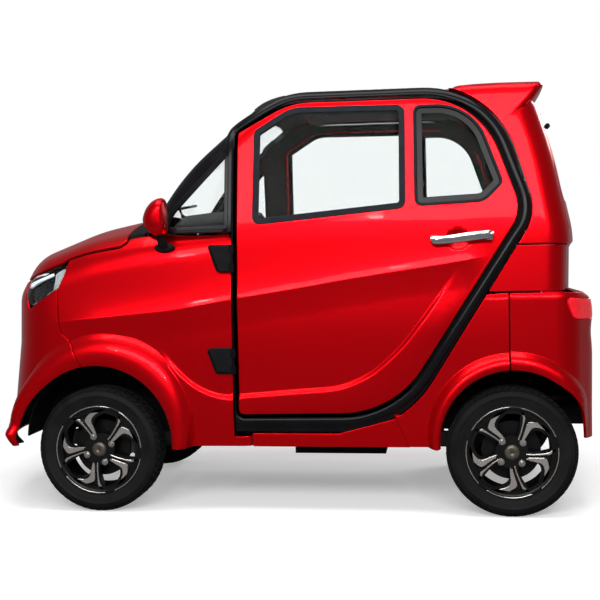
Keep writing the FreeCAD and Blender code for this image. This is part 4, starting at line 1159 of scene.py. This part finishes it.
def ring_group():
    """Copies of an object round the Y axis."""
    group = bpy.data.node_groups.new("ring_of_copies", "GeometryNodeTree")
    face = group.interface
    face.new_socket("Geometry", in_out="INPUT", socket_type="NodeSocketGeometry")
    for label, kind, value in (("Object", "NodeSocketObject", None), ("Count", "NodeSocketInt", 5),
                               ("First Angle", "NodeSocketFloat", 0.0),
                               ("Material", "NodeSocketMaterial", None)):
        socket = face.new_socket(label, in_out="INPUT", socket_type=kind)
        if value is not None:
            socket.default_value = value
    face.new_socket("Geometry", in_out="OUTPUT", socket_type="NodeSocketGeometry")
    given = add_node(group, "NodeGroupInput").outputs
    line = add_node(group, "GeometryNodeMeshLine",
                    {"Count": given["Count"], "Offset": (0, 0, 0)})
    index = add_node(group, "GeometryNodeInputIndex")
    share = add_node(group, "ShaderNodeMath", {0: index.outputs[0], 1: given["Count"]},
                     operation="DIVIDE")
    turn = add_node(group, "ShaderNodeMath",
                    {0: share.outputs[0], 1: 2 * math.pi, 2: given["First Angle"]},
                    operation="MULTIPLY_ADD")
    spin = add_node(group, "ShaderNodeCombineXYZ", {"Y": turn.outputs[0]})
    info = add_node(group, "GeometryNodeObjectInfo", {"Object": given["Object"]},
                    transform_space="ORIGINAL")
    copies = add_node(group, "GeometryNodeInstanceOnPoints",
                      {"Points": line.outputs[0], "Instance": info.outputs["Geometry"],
                       "Rotation": spin.outputs[0]})
    real = add_node(group, "GeometryNodeRealizeInstances", {0: copies.outputs[0]})
    paint = add_node(group, "GeometryNodeSetMaterial",
                     {"Geometry": real.outputs[0], "Material": given["Material"]})
    add_node(group, "NodeGroupOutput", {0: paint.outputs[0]})
    return group


RING = ring_group()


def ring_of(name, piece, count, first, finish_name):
    """Object made of count copies of a piece round the Y axis, the first turned by an angle."""
    holder = new_object(name, [], [], finish_name)
    modifier = holder.modifiers.new("ring", "NODES")
    modifier.node_group = RING
    values = {"Object": piece, "Count": count, "First Angle": first, "Material": FINISH[finish_name]}
    for item in RING.interface.items_tree:
        if getattr(item, "in_out", "") == "INPUT" and item.name in values:
            modifier[item.identifier] = values[item.name]
    return applied(holder)


def gone(*objects):
    for obj in objects:
        bpy.data.objects.remove(obj, do_unlink=True)


def moved(obj, place, mirror=False):
    """Bake a place, and a mirror in Y before it, into the mesh."""
    points = np.array([v.co[:] for v in obj.data.vertices])
    if mirror:
        points = points * (1, -1, 1)
        obj.data.flip_normals()
    obj.data.vertices.foreach_set("co", (points + place).ravel().tolist())
    obj.data.update()
    return obj


def polar(rows):
    """(degrees clockwise from the tip, radius in mm) as x, z in metres."""
    rows = np.array(rows, float)
    angle = np.radians(rows[:, 0])
    return np.stack([rows[:, 1] * np.sin(angle), rows[:, 1] * np.cos(angle)], 1) * MM


def belts(rings, count):
    """Faces between rings of count points, one ring after another."""
    return [[a + (i + 1) % count, a + i, a + count + i, a + count + (i + 1) % count]
            for a in range(0, (rings - 1) * count, count) for i in range(count)]


def plate(name, outline, front, depth, bevel, finish_name):
    """Flat piece in the XZ plane, its face at y = front and its back at front + depth."""
    outline = turned_left(np.asarray(outline, float))
    inner = shrink(outline, bevel)
    count = len(outline)
    rings = [(inner, front), (outline * .3 + inner * .7, front + bevel * .3), (outline, front + bevel),
             (outline, front + depth)]
    verts = [(x, y, z) for ring, y in rings for x, z in ring]
    faces = [list(range(count))] + belts(len(rings), count)
    faces.append([(len(rings) - 1) * count + i for i in reversed(range(count))])
    return new_object(name, verts, faces, finish_name, smooth=False)


def turned_piece(name, rows, finish_name, steps=96):
    """Closed profile (radius, along y) turned about the Y axis."""
    rows = np.asarray(rows, float)
    angle = np.linspace(0, 2 * math.pi, steps, endpoint=False)
    verts = [(r * math.sin(a), y, r * math.cos(a)) for a in angle for r, y in rows]
    n = len(rows)
    faces = [[i * n + j, i * n + (j + 1) % n,
              (i + 1) % steps * n + (j + 1) % n, (i + 1) % steps * n + j]
             for i in range(steps) for j in range(n)]
    area = sum(rows[j - 1][0] * rows[j][1] - rows[j][0] * rows[j - 1][1] for j in range(n))
    if area < 0:
        faces = [f[::-1] for f in faces]
    return new_object(name, verts, faces, finish_name)


def joined(name, objects):
    """One object from several, with all their materials."""
    bpy.ops.object.select_all(action="DESELECT")
    for obj in objects:
        obj.select_set(True)
    bpy.context.view_layer.objects.active = objects[0]
    bpy.ops.object.join()
    objects[0].name = name
    return objects[0]


# %% Bright limbs, lug nuts and cap
SICKLE = polar([(61, 169), (54, 167.5), (46, 164), (38, 158), (30, 149), (23, 139), (18, 130),
                (17, 121), (18.5, 105), (21, 85), (25, 64), (35, 58), (32.5, 75), (30.5, 92),
                (29, 106), (29, 117), (31.5, 127), (37, 138), (44, 147), (52, 156)])
THIN = polar([(0, 170), (7.2, 138), (9.5, 115), (12, 80), (13, 52), (18, 54), (15.5, 82),
              (12.2, 117), (11, 140), (5, 165)])
RIM_ARC = np.vstack([polar([(a, 174.5) for a in np.linspace(0, 60, 14)]),
                     polar([(a, 170.5) for a in np.linspace(58, 2, 14)])])
NUT = polar([(a, 8.5) for a in np.arange(0, 360, 60)]) + (0, NUT_RING)
NUT_SEAT = polar([(a, 13) for a in np.arange(0, 360, 20)]) + (0, NUT_RING)
FLANGE = [(.157, -.046), (.1585, -.056), (.164, -.0605), (.174, -.0616), (.178, -.059),
          (.178, -.050), (.166, -.044)]
CAP = [(0.0005, -FACE_OUT - .010), (.020, -FACE_OUT - .009), (.0265, -FACE_OUT - .006),
       (.029, -FACE_OUT - .001), (.029, -FACE_OUT + .01), (.0005, -FACE_OUT + .01)]


def wheel_trim(key, x, side, first):
    """Everything bright on one wheel, as seen from outside on the left; the other side is turned."""
    limbs = [plate("limb", shape, front, .010, .0012, "alloy_bright")
             for shape, front in ((SICKLE, -.0575), (THIN, -.0575), (RIM_ARC, -.0628))]
    rings = [ring_of("limbs", limb, BLADES, math.radians(first), "alloy_bright") for limb in limbs]
    gone(*limbs)
    nut = plate("nut", NUT, -FACE_OUT - .009, .02, .0015, "steel_bare")
    bore = plate("nut_seat", NUT_SEAT, -FACE_OUT - .003, .006, .0008, "steel_bare")
    rings += [ring_of("nuts", nut, NUTS, math.radians(first + 20), "steel_bare"),
              ring_of("nut_seats", bore, NUTS, math.radians(first + 20), "steel_bare")]
    gone(nut, bore)
    rings += [turned_piece("flange", FLANGE, "alloy_black"),
              turned_piece("cap", CAP, "cap_bronze", 48)]
    trim = joined("wheel_trim_" + key, rings)
    if side > 0:
        points = np.array([v.co[:] for v in trim.data.vertices]) * (-1, -1, 1)
        trim.data.vertices.foreach_set("co", points.ravel().tolist())
    moved(trim, (x, side * PLANE_Y, TYRE_R))
    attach(trim, f"wheel_{key}_body")


for key, (x, side, first) in WHEELS.items():
    wheel_trim(key, x, side, first)
print("wheel trims", len(WHEELS))

# %% Tyres with tread blocks
SIDEWALL = [(.166, -.0555), (.170, -.0585), (.176, -.0600), (.182, -.0592), (.186, -.0612), (.200, -.0655),
            (.212, -.0672), (.214, -.0688), (.2165, -.0688), (.2180, -.0672), (.228, -.0640), (.2340, -.0600),
            (.2385, -.0530), (.2402, -.0440), (.2402, -.0270), (.2400, -.0260)]
GROOVES = [(.2400, -.0100), (.2402, -.0090)]


TREAD = ((-.0625, -.0480, .010, 0.00), (-.0450, -.0260, .014, 0.05), (-.0200, .0200, .000, 0.02),
         (.0260, .0450, -.014, 0.05), (.0480, .0625, -.010, 0.00))  # y from and to, lean, first angle
TREAD_BLOCKS, TREAD_SHARE, TREAD_FOOT = 54, 0.80, .236
BLOCK_FACES = [(0, 3, 2, 1), (4, 5, 6, 7), (0, 1, 5, 4), (1, 2, 6, 5), (2, 3, 7, 6), (3, 0, 4, 7)]


def make_tyre(key, x, side):
    """The carcass and five rows of tread blocks, whose outer corners drop at the shoulders."""
    profile = SIDEWALL + GROOVES
    profile = profile + [(r, -y) for r, y in profile[::-1]]
    parts = [turned_piece("carcass", profile, "tyre_rubber", 120)]
    half = 2 * math.pi * TYRE_R / TREAD_BLOCKS * TREAD_SHARE / 2
    for y0, y1, lean, start in TREAD:
        top = TYRE_R - 0.16 * max(0, max(abs(y0), abs(y1)) - .046)
        drop0, drop1 = (.009 if abs(y) > .05 else 0 for y in (y0, y1))
        corners = ((-half, y0), (half, y0), (half + lean, y1), (-half + lean, y1))
        tops = (top - drop0, top - drop0, top - drop1, top - drop1)
        verts = [(a, b, TREAD_FOOT) for a, b in corners]
        verts += [(a, b, z) for (a, b), z in zip(corners, tops)]
        block = new_object("block", verts, BLOCK_FACES, "tyre_rubber", smooth=False)
        parts.append(ring_of("blocks", block, TREAD_BLOCKS, start, "tyre_rubber"))
        gone(block)
    tyre = moved(joined("tyre_skin_" + key, parts), (x, side * PLANE_Y, TYRE_R))
    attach(tyre, f"wheel_{key}_body")
    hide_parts("tyre_" + key)


for key, (x, side, _) in WHEELS.items():
    make_tyre(key, x, side)
print("tyres", len(WHEELS))

# %% [markdown]
# ## Windows, lamps and trim
# Each door window sits in a grey rubber frame, and the quarter and vent windows have a black
# printed border.
# The headlight is a clear lens over a black bowl with a white light bar and a silver wedge.

# %% Window frames
def frame_piece(name, rows, out, width, relief, wall, finish_name, body):
    ring = panel(name + "_left", CABIN_HULL, SIDE, outline_of(rows, out),
                 holes=[outline_of(rows, out - width)], relief=level(relief), wall=wall, cell=0.008,
                 edge=0.0022, finish_name=finish_name, twin=name + "_right")
    put_on(ring, body, (None, None))


DOORS = ("door_left_body", "door_right_body")
frame_piece("window_rubber", MAIN_WINDOW, 0.004, 0.024, 0.0035, 0.020, "grey_rubber", DOORS)
frame_piece("quarter_rubber", QUARTER_WINDOW, 0.004, 0.011, 0.0035, 0.018, "grey_rubber", DOORS)
frame_piece("quarter_border", QUARTER_WINDOW, -0.0065, 0.024, -0.006, 0.0018, "black_gloss", DOORS)
frame_piece("vent_border", VENT_OPENING, 0.003, 0.016, -0.001, 0.012, "black_gloss", ("body", "body"))

# %% Panes
WINDSCREEN = [(-432, 1080, 40), (-386, 1600, 60)]


def one_finish(piece):
    """Glass shows no black lining on its inner side."""
    piece.data.polygons.foreach_set("material_index", [0] * len(piece.data.polygons))
    piece.data.materials.pop(index=1)


def pane(name, chart, rows, twin, bodies, nodes):
    made = panel(name, CABIN_HULL, chart, outline_of(rows, -0.001), relief=level(-0.009),
                 wall=0.004, cell=0.02, edge=0.0008, finish_name="clear_glass", twin=twin)
    for piece in made:
        one_finish(piece)
    put_on(made, bodies, nodes)


pane("door_pane_left", SIDE, MAIN_WINDOW, "door_pane_right", DOORS,
     ("door_glass_left", "door_glass_right"))
pane("quarter_pane_left", SIDE, QUARTER_WINDOW, "quarter_pane_right", DOORS, (None, None))
pane("vent_pane_left", SIDE, VENT_OPENING, "vent_pane_right", ("body", "body"),
     ("vent_windows", "vent_windows"))
pane("windscreen_pane", FRONT, both_sides(WINDSCREEN), None, ("body",), ("windscreen",))
pane("tailgate_pane", BACK, window_rows, None, ("tailgate_body",), ("tailgate_glass",))

# %% Headlights and tail lights
HEADLIGHT = [(-1018, 924, 25), (-868, 982, 20), (-835, 977, 15), (-879, 888, 30), (-1010, 806, 30),
             (-1034, 880, 20)]
LIGHT_BAR = [(-1024, 910, 0), (-1024, 889, 0), (-956, 920, 0), (-898, 941, 0), (-901, 952, 0),
             (-956, 933, 0)]
WEDGE = [(-892, 948, 0), (-862, 968, 0), (-848, 966, 0), (-856, 928, 0), (-882, 886, 0),
         (-901, 880, 0), (-893, 916, 0)]


def lamp_part(name, rows, depth, wall, finish_name, grow=0.0, measure=NOSE_HULL):
    """A plate of a lamp at a depth below the skin, on both sides."""
    part = panel(name + "_left", measure, SIDE, outline_of(rows, grow), relief=level(-depth),
                 wall=wall, cell=0.009, edge=0.0015, finish_name=finish_name, twin=name + "_right")
    if "glass" in finish_name:
        for piece in part:
            one_finish(piece)
    put_on(part, ("body", "body"), (None, None))


lamp_part("headlight_lens", HEADLIGHT, 0.000, 0.002, "lamp_glass", -0.002)
lamp_part("headlight_bowl", HEADLIGHT, 0.022, 0.002, "black_gloss", 0.004)
lamp_part("light_bar", LIGHT_BAR, 0.006, 0.008, "lamp_white")
lamp_part("lamp_wedge", WEDGE, 0.008, 0.006, "lamp_silver")
lamp_part("tail_lens", TAILLIGHT, -0.002, 0.012, "red_glass", -0.002, measure=BUMPER_HULL)
for hand in ("left", "right"):
    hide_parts("headlights")
    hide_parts("taillights")

# %% [markdown]
# ## Mirrors, handle and hinges
# A mirror head is one outline swept sideways and scaled from station to station, and so are its
# base, its stalk and the door handle. The covers of the door hinges are bevelled plates.

# %% Swept forms


def swept(name, outline, stations, finish_name):
    """Closed form: the outline (x, z) at each station (y, scale, x shift, z shift)."""
    outline = turned_left(np.asarray(outline, float))
    middle = outline.mean(0)
    count = len(outline)
    verts = []
    for y, scale, dx, dz in stations:
        verts += [(x, y, z) for x, z in (outline - middle) * scale + middle + (dx, dz)]
    last = (len(stations) - 1) * count
    faces = belts(len(stations), count)
    faces += [list(range(count)), [last + i for i in reversed(range(count))]]
    return new_object(name, verts, faces, finish_name)


def twin_of(obj, name):
    other = obj.copy()
    other.data = obj.data.copy()
    bpy.context.scene.collection.objects.link(other)
    other.name = name
    return moved(other, (0, 0, 0), mirror=True)


HEAD = curve([(-.500, 1.128), (-.508, 1.150), (-.494, 1.192), (-.470, 1.222), (-.436, 1.238),
              (-.418, 1.232), (-.414, 1.170), (-.415, 1.100), (-.438, 1.086), (-.470, 1.092),
              (-.500, 1.128)], 0.012)[:-1]
HEAD_STATIONS = [(-.640, .20, .008, 0), (-.639, .42, .008, 0), (-.634, .66, .006, 0),
                 (-.622, .85, .003, 0), (-.602, .97, 0, 0), (-.580, 1.0, 0, 0),
                 (-.556, .96, 0, -.002), (-.540, .84, .002, -.006), (-.530, .62, .006, -.010),
                 (-.527, .30, .006, -.012)]
head = swept("mirror_head_left", HEAD, HEAD_STATIONS, "red_paint")
BASE = polar([(a, 1000) for a in np.arange(0, 360, 15)]) * (.040, .018) + (-.439, 1.043)
base = swept("mirror_base_left", BASE, [(-.500, 1.0, 0, 0), (-.530, 1.0, 0, 0),
                                        (-.538, .85, 0, 0), (-.541, .5, 0, 0)], "black_plastic")
STALK = polar([(a, 1000) for a in np.arange(0, 360, 20)]) * (.019, .013) + (-.440, 1.045)
STALK_STATIONS = [(-.520, 1.2, 0, 0), (-.540, 1.0, 0, .004), (-.560, .9, -.004, .030),
                  (-.578, .95, -.008, .062), (-.585, .9, -.008, .080)]
stalk = swept("mirror_stalk_left", STALK, STALK_STATIONS, "black_plastic")
for piece in (head, base, stalk):
    other = twin_of(piece, piece.name.replace("left", "right"))
    for obj in (piece, other):
        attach(obj, "body")
        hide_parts("mirrors")

BAR = curve([(.596, 1.050), (.600, 1.037), (.640, 1.037), (.720, 1.044), (.833, 1.058),
             (.838, 1.074), (.832, 1.090), (.720, 1.080), (.640, 1.068), (.600, 1.064),
             (.596, 1.050)], 0.008)[:-1]
bar = swept("handle_bar_left", BAR, [(-.548, .90, 0, 0), (-.556, 1.0, 0, 0), (-.562, .97, 0, 0),
                                     (-.566, .85, 0, 0), (-.568, .6, 0, 0), (-.5685, .2, 0, 0)],
            "chrome")
for obj, hand in ((bar, "left"), (twin_of(bar, "handle_bar_right"), "right")):
    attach(obj, f"door_{hand}_body")

COVERS = (((-.257, 1.050), (-.166, 1.047), (-.171, .944), (-.219, .945)),
          ((-.269, .649), (-.171, .649), (-.172, .551), (-.235, .555)))
for k, rows in enumerate(COVERS):
    rounded_rows = rounded([(x / MM, z / MM, 9) for x, z in rows], 6)
    cover = plate(f"hinge_cover_{k}_left", rounded_rows, -.552, .014, .004, "black_plastic")
    for obj in (cover, twin_of(cover, f"hinge_cover_{k}_right")):
        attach(obj, "body")

# %% [markdown]
# ## Seats
# A seat has a cushion, a backrest and a headrest. Each starts as a smaller block, is remeshed and
# blown up as cloth under pressure, so its sides pull in between the corners.

# %% Seats
VOXEL = 0.0075
CLOTH_FRAMES = 20
CLOTH_PRESSURE = 4.0


def cushion(name, side_rows, half, cap=0.018):
    """Padded piece from a side outline (mm, with corners) that spans -half to half across. The
    cloth swells by no more than the cap."""
    outline = walk(rounded(side_rows, 8), 0.02)
    ends = [(-half, .86), (-half + .012, .95), (-half + .035, 1.0), (0, 1.0)]
    ends += [(-y, scale) for y, scale in ends[2::-1]]
    pad = swept(name, outline, [(y, scale, 0, 0) for y, scale in ends], "seat_cover")
    remesh = pad.modifiers.new("voxels", "REMESH")
    remesh.mode = "VOXEL"
    remesh.voxel_size = VOXEL
    applied(pad)
    start = np.array([v.co[:] for v in pad.data.vertices])
    cloth = pad.modifiers.new("stuffing", "CLOTH")
    cloth.settings.use_pressure = True
    cloth.settings.uniform_pressure_force = CLOTH_PRESSURE
    cloth.settings.effector_weights.gravity = 0.0
    for frame_number in range(1, CLOTH_FRAMES + 1):
        bpy.context.scene.frame_set(frame_number)
    applied(pad)
    bpy.context.scene.frame_set(1)
    moves = np.array([v.co[:] for v in pad.data.vertices]) - start
    far = np.linalg.norm(moves, axis=1)
    moves *= (np.minimum(far, cap) / np.maximum(far, 1e-9))[:, None]
    pad.data.vertices.foreach_set("co", (start + moves).ravel().tolist())
    pad.data.polygons.foreach_set("use_smooth", [True] * len(pad.data.polygons))
    pad.data.materials.clear()
    pad.data.materials.append(FINISH["seat_cover"])
    pad.data.update()
    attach(pad, "body")
    return pad


def seat(name, x, z, half, top, stand_z, stand_x):
    """A seat whose cushion starts at x, z; the name is its CAD node too."""
    x, z = x / MM, z / MM
    top = z + top / MM
    back_top, rest_foot = z + 0.70 * (top - z), z + 0.74 * (top - z)
    base = cushion(name + "_cushion", [(x + 16, z + 14, 20), (x + 16, z + 92, 40),
                                       (x + 120, z + 88, 200), (x + 318, z + 80, 30),
                                       (x + 318, z + 14, 20)], half - .016)
    back = cushion(name + "_backrest", [(x + 350, z + 40, 20), (x + 338, z + 230, 300),
                                        (x + 414, back_top, 30), (x + 462, back_top, 30),
                                        (x + 440, z + 230, 300), (x + 420, z + 40, 20)],
                   half - .020)
    rest = cushion(name + "_headrest", [(x + 400, rest_foot, 30), (x + 412, top - 12, 35),
                                        (x + 470, top - 12, 35), (x + 458, rest_foot, 30)],
                   half * 0.42)
    x, z = x * MM, z * MM
    low, high = z + .62 * (top * MM - z), z + .80 * (top * MM - z)
    stand = plate(name + "_stand", [(stand_x, stand_z), (x + .34, stand_z), (x + .34, z + .012),
                                    (stand_x, z + .012)], -.12, .24, .004, "black_plastic")
    posts = plate(name + "_posts", [(x + .428, low), (x + .440, low), (x + .444, high),
                                    (x + .432, high)], -.05, .10, .003, "steel_bare")
    for obj in (stand, posts):
        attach(obj, "body")
    for obj in (base, back, rest, stand, posts):
        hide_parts(name)


seat("front_seat", -.060, .540, .210, .520, .2905, 0.0)
seat("rear_seat", .520, .600, .310, .735, .4405, .62)
print("seats done")

# %% [markdown]
# ## Inner wings and spoiler
# Inside each arch is a black half drum. The spoiler continues the roof behind the rail: one skin
# that rolls over the rear edge into the sloping back, and a cheek on each side that is flush with
# the quarter.

# %% Inner wings
WINGS = (("front", (-.720, .283), .3035, .284, 2), ("rear", (.892, .305), .3085, .272, 28))
for end, centre, radius, inner, low_end in WINGS:
    band = np.vstack([arc(centre, radius, low_end, 178, 50),
                      arc(centre, radius + .005, 178, low_end, 50)])
    drum = plate(f"inner_wing_{end}_left", band, -.506, .506 - inner, .001, "black_plastic")
    wall = plate(f"inner_wing_end_{end}_left", arc(centre, radius, 2, 178, 50), -inner - .004, .004,
                 .001, "black_plastic")
    for obj in (drum, wall):
        for piece in (obj, twin_of(obj, obj.name.replace("left", "right"))):
            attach(piece, "body")

# %% Spoiler
SPOILER = [(600, 1630, 0, -30, 22), (740, 1672, 200, -30, 22), (880, 1677, 400, -30, 22),
           (1034, 1674, 9, -30, 22), (1048, 1655, 7, -30, 22), (1014, 1600, 40, -30, 12),
           (912, 1478, 8, -25, 0), (600, 1478, 0, -30, 0)]
SPOILER_HULL = hull(barrel_pair(SPOILER), 0.034)
ROLL_RADIUS = 0.12
SPOILER_ROLL = roll_chart(0.93, 1.605, ROLL_RADIUS)
roll_edge = chained(SPOILER_HULL, SPOILER_ROLL, [
    (plan_chart(1.60), straight((.70, -.417), (.70, .417), 30)),
    (end_chart(0.80, 1), straight((.443, 1.506), (-.443, 1.506), 30))])
roll_rows = [(straight((math.atan2(dz, dx) * ROLL_RADIUS, -.43),
                       (math.atan2(dz, dx) * ROLL_RADIUS, .43), 60), (0,))
             for dx, dz in ((.108, .060), (.118, .053), (.116, .042))]
spoiler_top = panel("spoiler_top", SPOILER_HULL, SPOILER_ROLL, roll_edge, creases=roll_rows,
                    wall=0.008, cell=0.012)
put_on(spoiler_top, ("body",), ("spoiler",))
cheek_front = between(rail_back, 1.486, 1.652)
cheek_rows = np.vstack([cheek_front, straight((.892, 1.484), (.992, 1.600), 8),
                        [(1.017, 1.630), (1.006, 1.651), (.74, 1.654)]])
cheek = panel("spoiler_cheek_left", SPOILER_HULL, SIDE, cheek_rows, wall=0.008, twin="spoiler_cheek_right")
put_on(cheek, ("body", "body"), (None, None))
HINGE = [(.0005, -.016), (.010, -.016), (.010, .016), (.0005, .016)]
for hand, y in (("left", -.26), ("right", .26)):
    hinge = turned_piece("gate_hinge_" + hand, HINGE, "black_plastic", 24)
    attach(moved(hinge, (1.058, y, 1.500)), "tailgate_body")
print("spoiler and wings done")
